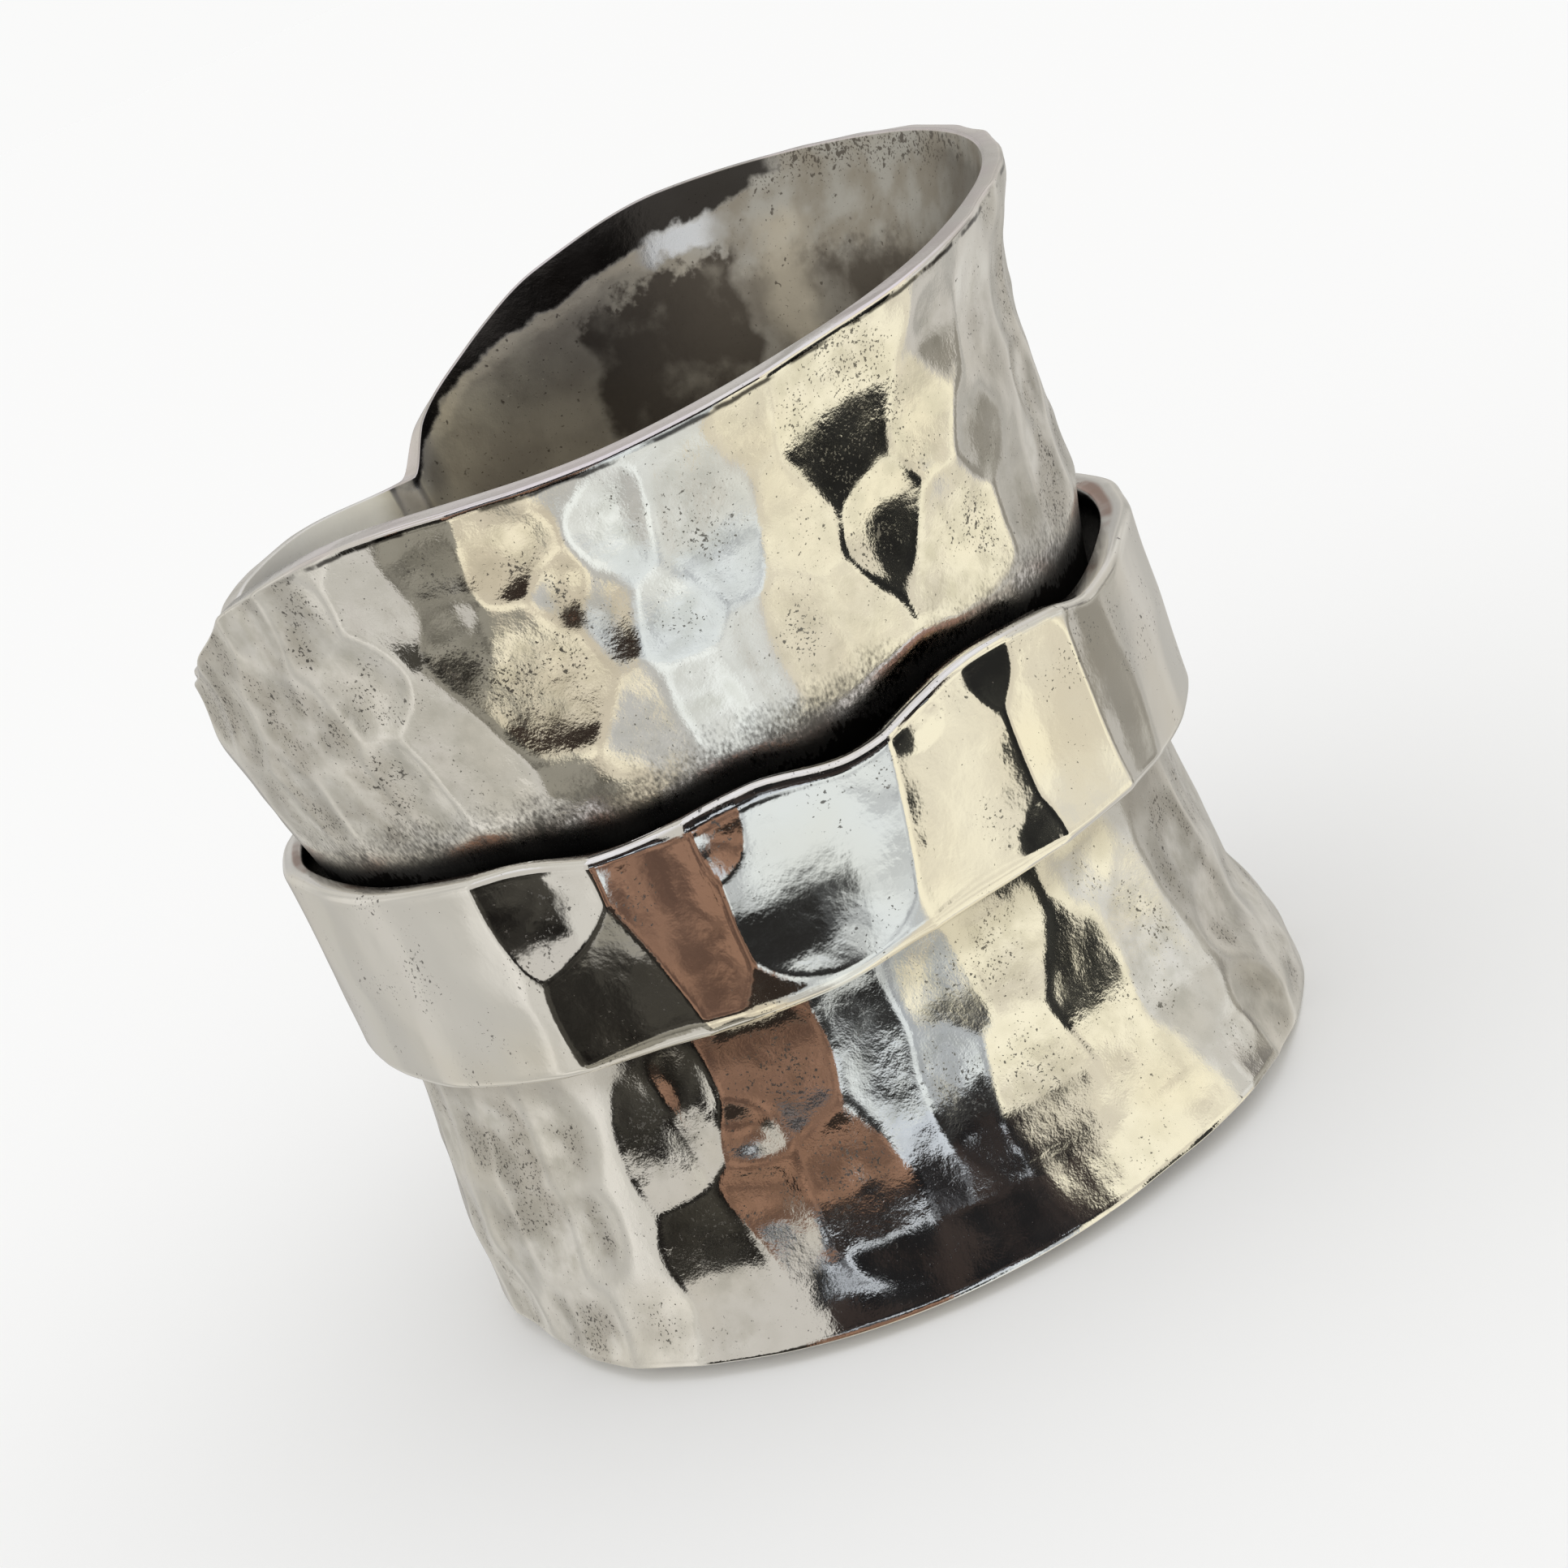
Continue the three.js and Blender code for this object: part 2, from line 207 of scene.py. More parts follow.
def place_dents(rows, chart, charted):
    """Gives each mark its angle, height, half width, half height and depth, as one table.

    In a row, mark j stands at j equal steps round, and every second row is moved by half a step.
    Each of the five numbers is then strayed by its own share. In the charted part, between two
    angles, the rows leave out their marks, and those given one by one take their place.
    """
    placed = []
    for i, (height, around, width, tall, depth) in enumerate(rows):
        j = np.arange(around)
        row = np.stack([
            360 / around * (j + (i % 2) / 2 + DENT_SCATTER * stray_number(i, j, 1)),
            height + DENT_SCATTER * tall / 2 * stray_number(i, j, 2),
            width / 2 * (ROW_SIZE + ROW_SIZE_STRAY * stray_number(i, j, 3)),
            tall / 2 * (ROW_SIZE + ROW_SIZE_STRAY * stray_number(i, j, 4)),
            depth * (1 + ROW_DEPTH_STRAY * stray_number(i, j, 5)),
        ], axis=1)
        placed.append(row[(row[:, 0] < charted[0]) | (row[:, 0] > charted[1])])
    by_hand = np.array(chart, dtype=float)
    by_hand[:, 2:4] *= CHART_SIZE / 2
    return np.concatenate([*placed, by_hand])


base_dents = place_dents(BASE_DENTS, BASE_CHART, CHARTED_BASE)
loose_dents = place_dents(LOOSE_DENTS, LOOSE_CHART, CHARTED_LOOSE)
print("marks in all:", len(base_dents), "and", len(loose_dents))

# %% [markdown]
# ## A hammered surface
# The depth at a place is that of the deepest bowl there. A plain maximum of the bowls would give
# ridges like knife edges, and polishing has softened the real ones, so the two deepest bowls are
# joined by a smooth maximum. The ridges are crisp and bright in front, and worn softer at the sides.

# %% Bowls and ridges
BASE_SOFTNESS, LOOSE_SOFTNESS, SIDE_SOFTNESS = 0.04, 0.013, 0.06  # depths in millimetres
RIDGE_REACH = 0.03
CRISP_MIDDLE, CRISP_HALF_ANGLE, CRISP_FADE = 277, 45, 12  # degrees


def at_sides(angle):
    """0 in front, where the ridges are crisp and bright, and 1 at the sides and the back."""
    return ease((np.abs(angle - CRISP_MIDDLE) - CRISP_HALF_ANGLE) / CRISP_FADE + 0.5)


def hammered(dents, softness, angle, height, radius):
    """Depth of the hammering and how near a ridge is, at each place of a wall.

    A bowl's depth falls off with the square of the distance from its middle. The depth is the
    smooth maximum of all bowls: where two differ by less than the softness, a small parabola
    is added. A ridge is near where the deepest two bowls are almost equally deep.
    """
    softness = softness + (SIDE_SOFTNESS - softness) * at_sides(angle)
    depth = np.zeros_like(height)
    second = np.zeros_like(height)
    for centre, middle, half_width, half_tall, deep in dents:
        across = np.radians((angle - centre + 180) % 360 - 180) * radius / half_width
        along = (height - middle) / half_tall
        bowl = deep * (1 - across**2 - along**2)
        second = np.maximum(second, np.minimum(depth, bowl))
        close = np.maximum(softness - np.abs(depth - bowl), 0) / softness
        depth = np.maximum(depth, bowl) + close**2 * softness / 4
    ridge = 1 - ease((depth - second) / RIDGE_REACH)
    return depth, ridge


print("ridges are crisp", CRISP_HALF_ANGLE, "degrees to each side of", CRISP_MIDDLE)

# %% [markdown]
# ## Unevenness between the marks
# A polished sheet is never quite even. Many waves with strayed directions and almost one wave
# length add up to such a surface, which has no seam, because the waves run through space and not
# along the wall.

# %% Ripples
WAVES = 40
SHORTEST, LONGEST = 0.7, 1.5  # shares of the length that is asked for
RIPPLE_PEAK = 1.5  # how far so many waves reach together, in their usual reach


def ripple(points, length, seed):
    """A smooth random height from about -1 to 1: the sum of plane waves of nearly one length."""
    draw = np.random.default_rng(seed)
    way = draw.normal(size=(WAVES, 3))
    way /= np.linalg.norm(way, axis=1, keepdims=True)
    way *= 2 * np.pi / (length * draw.uniform(SHORTEST, LONGEST, size=(WAVES, 1)))
    phase = draw.uniform(0, 2 * np.pi, size=WAVES)
    total = np.zeros(points.shape[:-1])
    for direction, shift in zip(way, phase):
        total += np.sin(points @ direction + shift)
    return total / math.sqrt(WAVES / 2) / RIPPLE_PEAK


def ring_points(angle, radius, height, drift=0.0):
    """X is the drift plus radius times the angle's cosine, Y is radius times its sine, Z is height."""
    turn = np.radians(angle)
    across = drift + radius * np.cos(turn)
    return np.stack([across, radius * np.sin(turn), height + 0 * turn], axis=-1)


print("each unevenness is the sum of", WAVES, "waves")

# %% [markdown]
# ## From a profile to a closed skin
# Both pieces are rings, so both are made the same way. A closed loop of points is worked out for
# every angle at once: up the outside, over the rim, down the inside and back under the foot. Points
# next to each other are joined by four-sided faces, and the last column joins the first, which
# gives a closed skin, as a doughnut has. Edge loops could be extruded by hand to the same mesh, but
# a grid of numbers can be changed at any time. Each point also carries numbers that the finish reads.

# %% A loop made of stretches


def join_stretches(stretches, columns):
    """Puts the stretches of a loop end to end.

    A stretch is a table of radii, a table of heights, and one number for each note that the
    finish reads. Gives the loop's radii, its heights, and each note as one row.
    """
    full = np.ones((columns, 1))
    radius = np.concatenate([stretch[0] * full for stretch in stretches], axis=1)
    height = np.concatenate([stretch[1] * full for stretch in stretches], axis=1)
    notes = [np.concatenate([np.full(radii.shape[1], numbers[k], dtype=float)
                             for radii, _, *numbers in stretches])[None, :]
             for k in range(len(stretches[0]) - 2)]
    return radius, height, *notes


def only_outside(values, loop):
    """Widens a table of the first, outside stretch to the whole loop, with 0 elsewhere."""
    wide = np.zeros_like(loop)
    wide[:, :values.shape[1]] = values
    return wide


# %% A skin of loops


def skin(name, points, notes, material):
    """Makes a mesh of a grid of points in millimetres, closed both ways.

    Corner (c, r) is joined to (c+1, r), (c+1, r+1) and (c, r+1), each counted round to the start.
    """
    columns, rows = points.shape[:2]
    c, r = np.meshgrid(np.arange(columns), np.arange(rows), indexing="ij")
    c_next, r_next = (c + 1) % columns, (r + 1) % rows
    corners = [c * rows + r, c_next * rows + r, c_next * rows + r_next, c * rows + r_next]
    faces = np.stack(corners, axis=-1).reshape(-1, 4)
    mesh = bpy.data.meshes.new(name)
    mesh.vertices.add(columns * rows)
    mesh.vertices.foreach_set("co", (points * MM).astype(np.float32).ravel())
    mesh.loops.add(faces.size)
    mesh.loops.foreach_set("vertex_index", faces.ravel().astype(np.int32))
    mesh.polygons.add(len(faces))
    mesh.polygons.foreach_set("loop_start", np.arange(0, faces.size, 4, dtype=np.int32))
    mesh.polygons.foreach_set("use_smooth", np.ones(len(faces), dtype=bool))
    mesh.update()

    for note, values in notes.items():
        layer = mesh.attributes.new(note, "FLOAT", "POINT")
        table = np.broadcast_to(values, (columns, rows)).astype(np.float32)
        layer.data.foreach_set("value", table.ravel())
    mesh.materials.append(material)
    piece = bpy.data.objects.new(name, mesh)
    bpy.context.collection.objects.link(piece)
    places = points.reshape(-1, 3)
    print(name, columns, "x", rows, "=", 2 * len(faces), "triangles, mm",
          places.min(axis=0).round(2), places.max(axis=0).round(2))
    return piece


# %% [markdown]
# ## Node helpers
# A finish is a small network of nodes. It could be wired by hand in the shader editor, but a long
# one is hard to read there. These helpers add a node or two each, so that the materials below read
# as recipes. A metal's patterns are in the object's own space, so they stay put as the ring turns,
# and their sizes are given in millimetres.

# %% Helpers for any network


class Recipe:
    """Short ways to add nodes to a tree. Each gives back the new node's output."""

    def __init__(self, tree, coordinates, unit):
        self.nodes = tree.nodes
        self.links = tree.links
        self.place = self.nodes.new("ShaderNodeTexCoord").outputs[coordinates]
        self.unit = unit

    def fill(self, socket, value):
        """Joins a node's output to a socket, or sets the socket to a plain number or colour."""
        if isinstance(value, bpy.types.NodeSocket):
            self.links.new(value, socket)
        else:
            socket.default_value = value

    def math(self, operation, *values):
        """One sum of plain numbers, such as ADD, MULTIPLY, or MULTIPLY_ADD: a times b plus c."""
        node = self.nodes.new("ShaderNodeMath")
        node.operation = operation
        for socket, value in zip(node.inputs, values):
            self.fill(socket, value)
        return node.outputs[0]

    def times(self, first, second):
        """The product of two numbers. For two masks from 0 to 1 it's 1 only where both are."""
        return self.math("MULTIPLY", first, second)

    def fade(self, value, start, end, low=0.0, high=1.0):
        """Low before start and high after end, with a soft change between them."""
        node = self.nodes.new("ShaderNodeMapRange")
        node.interpolation_type = "SMOOTHSTEP"
        for socket, number in zip(node.inputs, (value, start, end, low, high)):
            self.fill(socket, number)
        return node.outputs[0]

    def mix(self, share, first, second):
        """The first colour where share is 0, the second where it's 1."""
        node = self.nodes.new("ShaderNodeMix")
        node.data_type = "RGBA"
        colour_sockets = (node.inputs[0], node.inputs[6], node.inputs[7])
        for socket, value in zip(colour_sockets, (share, first, second)):
            self.fill(socket, value)
        return node.outputs[2]

    def noise(self, size, detail=2.0, seed=0.0, stretch=None):
        """Cloudy noise from 0 to 1, with clouds of about the given size.

        The noise has a fourth dimension, and each seed is another place along it.
        """
        node = self.nodes.new("ShaderNodeTexNoise")
        node.noise_dimensions = "4D"
        node.inputs["W"].default_value = seed
        node.inputs["Scale"].default_value = 1 / (size * self.unit)
        node.inputs["Detail"].default_value = detail
        place = self.place
        if stretch:
            mapping = self.nodes.new("ShaderNodeMapping")
            mapping.inputs["Scale"].default_value = stretch
            self.links.new(place, mapping.inputs["Vector"])
            place = mapping.outputs[0]
        self.links.new(place, node.inputs["Vector"])
        return node.outputs[0]


# %% Helpers for a metal


class Finish(Recipe):
    """A metal's material, and the nodes that only a material needs."""

    def __init__(self, name):
        self.material = bpy.data.materials.new(name)
        self.material.use_nodes = True
        super().__init__(self.material.node_tree, "Object", MM)
        self.metal = self.nodes["Principled BSDF"].inputs

    def between(self, value, low, high, soft):
        """1 from low to high, with soft ends."""
        return self.times(self.fade(value, low - soft, low + soft),
                          self.fade(value, high - soft, high + soft, 1.0, 0.0))

    def stray(self, value, size, reach, seed, stretch=None):
        """The value, made to wander up and down by cloudy noise, by the reach at most."""
        cloud = self.noise(size, 4, seed, stretch)
        away = self.times(self.math("SUBTRACT", cloud, 0.5), 2 * reach)
        return self.math("ADD", value, away)

    def unless(self, value):
        """1 less the value."""
        return self.math("SUBTRACT", 1.0, value)

    def note(self, name):
        """The number that each point of the skin carries under a name."""
        node = self.nodes.new("ShaderNodeAttribute")
        node.attribute_name = name
        return node.outputs["Fac"]

    def height_and_turn(self):
        """Height above the floor in millimetres, and the angle round the ring in degrees."""
        node = self.nodes.new("ShaderNodeSeparateXYZ")
        self.links.new(self.place, node.inputs[0])
        turn = self.math("ARCTAN2", node.outputs[1], node.outputs[0])
        return self.times(node.outputs[2], 1 / MM), self.times(turn, 180 / math.pi)

    def bump(self, height, distance, below=None):
        """Tilts the surface as if the height, from 0 to 1, were a distance in millimetres."""
        node = self.nodes.new("ShaderNodeBump")
        node.inputs["Distance"].default_value = distance * MM
        self.links.new(height, node.inputs["Height"])
        if below is not None:
            self.links.new(below, node.inputs["Normal"])
        return node.outputs[0]


# %% [markdown]
# ## Colours of silver
# Clean silver is almost white. Its tarnish is a thin film, so it goes from grey through beige and
# brown to black as it thickens. Every stain below is a mix of these few colours, and so are the
# painted highlight, the painted brown glint and the painted dark reflection on the lip.

# %% Colours
SILVER = (0.92, 0.90, 0.865, 1)
WARM_SILVER = (0.90, 0.86, 0.78, 1)
LILAC_SILVER = (0.86, 0.79, 0.80, 1)
# The colour of the painted highlight on the lip inside.
HIGHLIGHT_SILVER = (0.89, 0.93, 0.99, 1)
PALE_SILVER = (0.86, 0.85, 0.81, 1)
ETCHED_SILVER = (0.70, 0.68, 0.62, 1)
OXIDE = (0.028, 0.024, 0.022, 1)
GREY_TARNISH = (0.53, 0.515, 0.475, 1)
STAINED_TARNISH = (0.40, 0.365, 0.31, 1)
OLIVE_TARNISH = (0.52, 0.485, 0.41, 1)
BROWN_TARNISH = (0.120, 0.104, 0.087, 1)
# A brown for the painted glints on the loose band's cut edges.
BROWN_GLINT = (0.42, 0.26, 0.20, 1)
BEIGE_TARNISH = (0.67, 0.61, 0.50, 1)
print("clean silver is", round(SILVER[0] / OXIDE[0]), "times as bright as the oxide")

# %% [markdown]
# ## Tarnish inside
# The inside was never polished, so it's stained. Each stain has its place round the ring and its
# depth under the upper rim, and its border is made to wander by noise, because a film spreads like
# a tide mark. The stains are laid over each other, from the widest to the smallest. They could be
# painted on an image too, but masks stay sharp close up, and one number moves a stain.

# %% Places of the stains
# Places round the ring, in degrees: from, to, softness of both ends.
LOWER_STAIN = (22, 58, 7)
PALE_STREAK = (47, 55, 3)
PALE_UNDER_LIP = (66, 116, 6)
DARK_PATCH = (59, 86, 1.2)
DULL_CORNER = (-14, 14, 5)
SPECKED_RIM = (8, 64, 8)
# Depths under the rim in millimetres: where a stain starts, and where it's full.
WASH_DEPTH = (1.9, 2.9)
LOWER_STAIN_DEPTH = (1.9, 2.8)
PALE_STREAK_DEPTH = (0.8, 1.6)
PALE_DEPTH = (0.7, 0.9)
OLIVE_DEPTH = (1.1, 1.5)
DARK_PATCH_DEPTH = (1.55, 1.95)
DULL_CORNER_DEPTH = (0.2, 0.6)
SPECKED_DEPTH = (0.1, 1.0)
OLIVE_STARTS = (64, 72)
LIP_NARROWS, LIP_NARROWING = (84, 108), 0.9  # degrees, and by how many millimetres
print("the dark patch is", DARK_PATCH[1] - DARK_PATCH[0], "degrees wide")

# %% Specks
SPECK_GAIN, SPECK_SOFT = 0.12, 0.07


def specks(kit, size, share, seed, more=0.0):
    """Small dark dots where fine noise is highest; more of them where more is near 1."""
    fine = kit.math("MULTIPLY_ADD", more, SPECK_GAIN, kit.noise(size, 2, seed))
    return kit.fade(fine, share, share + SPECK_SOFT)


# %% The stained inside


def inside_tarnish(kit, turn, below):
    """The unpolished inside: a grey ground, then each stain over it where its two masks overlap.

    Turn is the angle round the ring in degrees, below the distance under the upper rim in mm.
    """
    turn = kit.stray(turn, 1.3, 6.0, 21.0)
    below = kit.stray(below, 0.7, 0.5, 22.0)
    crumbly = kit.stray(below, 0.22, 0.6, 23.0)
    cloud = kit.noise(1.2, 5, 24.0)
    tone = kit.mix(kit.fade(cloud, 0.40, 0.62), GREY_TARNISH, STAINED_TARNISH)
    tone = kit.mix(kit.fade(below, *WASH_DEPTH, 0.0, 0.6), tone, STAINED_TARNISH)
    stain = kit.times(kit.between(turn, *LOWER_STAIN), kit.fade(crumbly, *LOWER_STAIN_DEPTH))
    stain = kit.times(stain, kit.fade(cloud, 0.35, 0.6, 0.35, 0.9))
    tone = kit.mix(stain, tone, BROWN_TARNISH)
    streak = kit.times(kit.between(turn, *PALE_STREAK),
                       kit.fade(below, *PALE_STREAK_DEPTH, 0.0, 0.7))
    tone = kit.mix(streak, tone, BEIGE_TARNISH)

    shifted = kit.math("ADD", below, kit.fade(turn, *LIP_NARROWS, 0.0, LIP_NARROWING))
    under_lip = kit.times(kit.between(turn, *PALE_UNDER_LIP), kit.fade(shifted, *PALE_DEPTH))
    tone = kit.mix(kit.times(under_lip, 0.8), tone, BEIGE_TARNISH)
    olive = kit.mix(kit.fade(cloud, 0.35, 0.65), OLIVE_TARNISH, STAINED_TARNISH)
    olive_share = kit.times(kit.fade(turn, *OLIVE_STARTS), kit.fade(shifted, *OLIVE_DEPTH))
    tone = kit.mix(olive_share, tone, olive)
    dark = kit.times(kit.between(turn, *DARK_PATCH), kit.fade(crumbly, *DARK_PATCH_DEPTH))
    worn_dark = kit.mix(kit.fade(cloud, 0.5, 0.8, 0.0, 0.6), BROWN_TARNISH, OLIVE_TARNISH)
    tone = kit.mix(dark, tone, worn_dark)
    corner = kit.times(kit.between(turn, *DULL_CORNER),
                       kit.fade(below, *DULL_CORNER_DEPTH, 0.0, 0.5))
    tone = kit.mix(corner, tone, BROWN_TARNISH)

    under_rim = kit.times(kit.between(turn, *SPECKED_RIM),
                          kit.fade(below, *SPECKED_DEPTH, 1.0, 0.0))
    dots = kit.math("MAXIMUM", specks(kit, 0.07, 0.66, 32.0, under_rim),
                    specks(kit, 0.2, 0.66, 33.0, under_rim))
    return kit.mix(kit.times(dots, 0.85), tone, BROWN_TARNISH)


# %% [markdown]
# ## Oxide in the groove
# Over the loose band the base band is black, because the polishing cloth never gets into that
# groove. The black is solid at the bottom and breaks up into upright grains above. One soft fade
# would look like a shadow, so two masks are joined: one with a ragged edge, and one that fades out
# over a longer stretch. Part of the front was wiped by a finger, and the black stands lower there.

# %% Oxide
GRAINS = (1, 1, 0.5)  # grains twice as tall as they are wide
WIPED, WIPED_BY = (-128, -84, 8), 0.38  # degrees, and by how many millimetres
SOLID_ENDS = (12.25, 12.65)  # heights in millimetres: from, to
GRAINS_END = (12.3, 13.8)
OXIDE_STARTS = (7.3, 7.6)
print("the groove is black up to about", SOLID_ENDS[0], "mm, in grains up to", GRAINS_END[1], "mm")


def groove_oxide(kit, height, turn):
    """1 where the groove is black: the greater of a solid mask and a grainy one, by height."""
    wiped = kit.math("MULTIPLY_ADD", kit.between(turn, *WIPED), WIPED_BY, height)
    ragged = kit.stray(kit.stray(wiped, 1.2, 0.5, 3.0), 0.10, 0.6, 4.0, GRAINS)
    solid = kit.fade(ragged, *SOLID_ENDS, 1.0, 0.0)
    grainy = kit.stray(kit.stray(height, 0.9, 1.0, 13.0), 0.07, 1.3, 31.0, GRAINS)
    grainy = kit.fade(grainy, *GRAINS_END, 0.8, 0.0)
    return kit.times(kit.math("MAXIMUM", solid, grainy), kit.fade(height, *OXIDE_STARTS))


# %% [markdown]
# ## The lip inside, and its painted reflection
# At the back the upper rim's inside was spread outwards. This lip is painted black and glossy, as a
# painted dark reflection, with one spot painted bright as a highlight. It narrows to both its ends.
# The flare itself is in the mesh, so here the lip is only two masks, whose borders wander as those
# of the stains do.

# %% The lip's painted dark reflection and its painted highlight
# The lip's black is a painted dark reflection: where it lies round the ring and under the rim.
LIP = (49, 120, 3)  # degrees: from, to, softness
LIP_DEPTH = (0.85, 1.05)  # millimetres under the rim
RIGHT_NARROWS, RIGHT_NARROWING = (50, 67), 0.65
# Where the painted highlight lies, round the ring and under the rim.
PAINTED_HIGHLIGHT, PAINTED_HIGHLIGHT_DEPTH = (61, 72, 3.0), (0.8, 1.4, 0.15)
print("the lip is", LIP[1] - LIP[0], "degrees long")


def lip_reflection_and_highlight(kit, turn, below):
    """Two masks: the lip's painted dark reflection, down to a depth that lessens towards its ends, and a
    painted highlight.
    """
    depth = kit.math("ADD", kit.stray(below, 0.6, 0.35, 26.0),
                     kit.fade(turn, *LIP_NARROWS, 0.0, LIP_NARROWING))
    depth = kit.math("ADD", depth, kit.fade(turn, *RIGHT_NARROWS, RIGHT_NARROWING, 0.0))
    lip = kit.times(kit.between(kit.stray(turn, 0.8, 5.0, 25.0), *LIP),
                    kit.fade(depth, *LIP_DEPTH, 1.0, 0.0))
    painted_highlight = kit.times(kit.between(kit.stray(turn, 0.9, 4.0, 28.0), *PAINTED_HIGHLIGHT),
                      kit.between(kit.stray(below, 0.5, 0.45, 29.0), *PAINTED_HIGHLIGHT_DEPTH))
    return kit.math("MAXIMUM", lip, painted_highlight), painted_highlight


# %% [markdown]
# ## Hammered silver
# Polished silver shows little colour of its own: it shows the room. What makes it look real is what
# spoils the mirror. There's a faint orange peel from the polishing, there are specks in loose swarms,
# the metal goes satin and dusty towards the sides, and a broken dark seam runs under the rim. At
# the low left end the inside is paler. Each is one mask that changes colour, roughness or bump.
# The paler part is less metallic too.

# %% The polish and the rim
SEAM_DEPTH = (0.02, 0.12, 0.03)  # millimetres under the rim: from, to, softness


def outside_polish(kit, hollow, satin, pits, grime):
    """Silver, etched in the hollows, stained where grime meets satin, bright along the crests."""
    tone = kit.mix(kit.fade(kit.noise(3.0, 3, 2.0), 0.4, 0.75), SILVER, WARM_SILVER)
    etched = kit.fade(kit.noise(0.5, 4, 27.0), 0.35, 0.7)
    etched = kit.times(etched, kit.fade(hollow, 0.0, 1.0, 0.25, 0.85))
    tone = kit.mix(etched, tone, ETCHED_SILVER)
    dusty = kit.times(kit.times(grime, satin), 0.55)
    tone = kit.mix(dusty, tone, STAINED_TARNISH)
    tone = kit.mix(kit.times(kit.note("crest"), 0.6), tone, SILVER)
    return kit.mix(kit.times(pits, 0.75), tone, OXIDE), etched


def rim_marks(kit, tone, below, inside, left):
    """The cut rim's lilac film, in clouds, and the broken dark seam just under it outside."""
    tinged = kit.fade(kit.noise(1.6, 3, 39.0), 0.38, 0.62, 0.25, 0.85)
    tinged = kit.times(tinged, kit.times(kit.note("rim"), kit.unless(left)))
    tone = kit.mix(tinged, tone, LILAC_SILVER)
    broken = kit.fade(kit.noise(1.0, 4, 35.0), 0.42, 0.52)
    seam = kit.times(kit.between(kit.stray(below, 0.8, 0.1, 36.0), *SEAM_DEPTH), broken)
    seam = kit.times(seam, kit.unless(kit.math("MAXIMUM", inside, left)))
    return kit.mix(kit.times(seam, 0.9), tone, OXIDE)


# %% The whole metal
LEFT_STARTS, LEFT_ENDS = (118, 126), (-132, -122)  # degrees
PALE_PART_DEPTH = (2.2, 4.2)  # millimetres under the rim
UNDER_BAND = (6.6, 8.0, 0.4)  # heights: from, to, softness
PEEL_BUMPS = (0.009, 0.003, 0.0014)  # millimetres, from the widest bumps to the finest


def hammered_silver():
    """The base band's metal: each mark of use is laid over the last, from clean to blackest, with a
    painted dark reflection and a painted highlight on the lip.
    """
    kit = Finish("hammered_silver")
    height, turn = kit.height_and_turn()
    hollow, satin, inside, below = map(kit.note, ("hollow", "satin", "inside", "below"))
    grime = kit.times(kit.fade(kit.noise(1.3, 3, 7.5), 0.36, 0.62),
                      kit.fade(hollow, 0.2, 0.9, 0.25, 1.0))
    pits = kit.math("MAXIMUM", specks(kit, 0.06, 0.69, 8.0, grime), specks(kit, 0.13, 0.73, 9.0, grime))
    tone, etched = outside_polish(kit, hollow, satin, pits, grime)
    oxide = groove_oxide(kit, height, turn)
    tone = kit.mix(oxide, tone, OXIDE)
    # A darker stripe runs round the base band at and just under the loose band's lower edge.
    under_band = kit.between(kit.stray(height, 0.6, 0.3, 15.0), *UNDER_BAND)
    tone = kit.mix(kit.times(under_band, 0.45), tone, STAINED_TARNISH)

    lip, painted_highlight = lip_reflection_and_highlight(kit, turn, below)
    dull = kit.times(inside, kit.unless(lip))
    left = kit.math("MAXIMUM", kit.fade(turn, *LEFT_STARTS), kit.fade(turn, *LEFT_ENDS, 1.0, 0.0))
    # At the low left end the inside gets a paler colour and is less metallic.
    paler_part = kit.fade(kit.stray(below, 0.8, 0.8, 40.0), *PALE_PART_DEPTH, 0.85, 0.0)
    paler_part = kit.times(left, paler_part)
    tone = kit.mix(dull, tone, kit.mix(paler_part, inside_tarnish(kit, turn, below), PALE_SILVER))
    # Painted dark reflection: on the lip inside, the colour is mixed almost to black.
    painted_dark_reflection = kit.times(kit.times(lip, inside), kit.unless(painted_highlight))
    tone = kit.mix(kit.times(painted_dark_reflection, 0.96), tone, OXIDE)
    # Painted highlight: one spot of the lip is mixed to a bright bluish silver.
    tone = kit.mix(kit.times(painted_highlight, inside), tone, HIGHLIGHT_SILVER)
    kit.fill(kit.metal["Base Color"], rim_marks(kit, tone, below, inside, left))

    rough = kit.fade(kit.noise(1.2, 2, 6.0), 0.35, 0.7, 0.05, 0.09)
    rough = kit.math("MULTIPLY_ADD", etched, 0.04, rough)
    rough = kit.math("MULTIPLY_ADD", satin, 0.11, rough)
    rough = kit.math("MULTIPLY_ADD", kit.math("MAXIMUM", pits, oxide), 0.3, rough)
    unpolished = kit.times(dull, kit.unless(painted_highlight))
    kit.fill(kit.metal["Roughness"], kit.math("MULTIPLY_ADD", unpolished, 0.2, rough))
    kit.fill(kit.metal["Metallic"], kit.math("MULTIPLY_ADD", kit.times(paler_part, dull), -0.6, 1.0))

    wide, fine, finest = PEEL_BUMPS
    peel = kit.bump(kit.noise(0.16, 3, 1.0), fine, kit.bump(kit.noise(0.7, 4, 34.0), wide))
    kit.fill(kit.metal["Normal"], kit.bump(kit.noise(0.05, 2, 30.0), finest, peel))
    print("hammered silver:", len(kit.nodes), "nodes")
    return kit.material


# %% [markdown]
# ## Burnished silver
# The loose band is rubbed by the neighbouring fingers all day, so it's smoother and brighter than
# the base band, with fewer specks. Its cut edges get brown patches, a painted reflection of brown
# glints, and its inside is black, as the groove is.

# %% Burnished silver
# Where the painted brown glint goes, by the edge note: from, to, softness.
BROWN_GLINT_EDGE = (0.12, 0.7, 0.05)
BURNISHED_BUMPS = (0.008, 0.002)


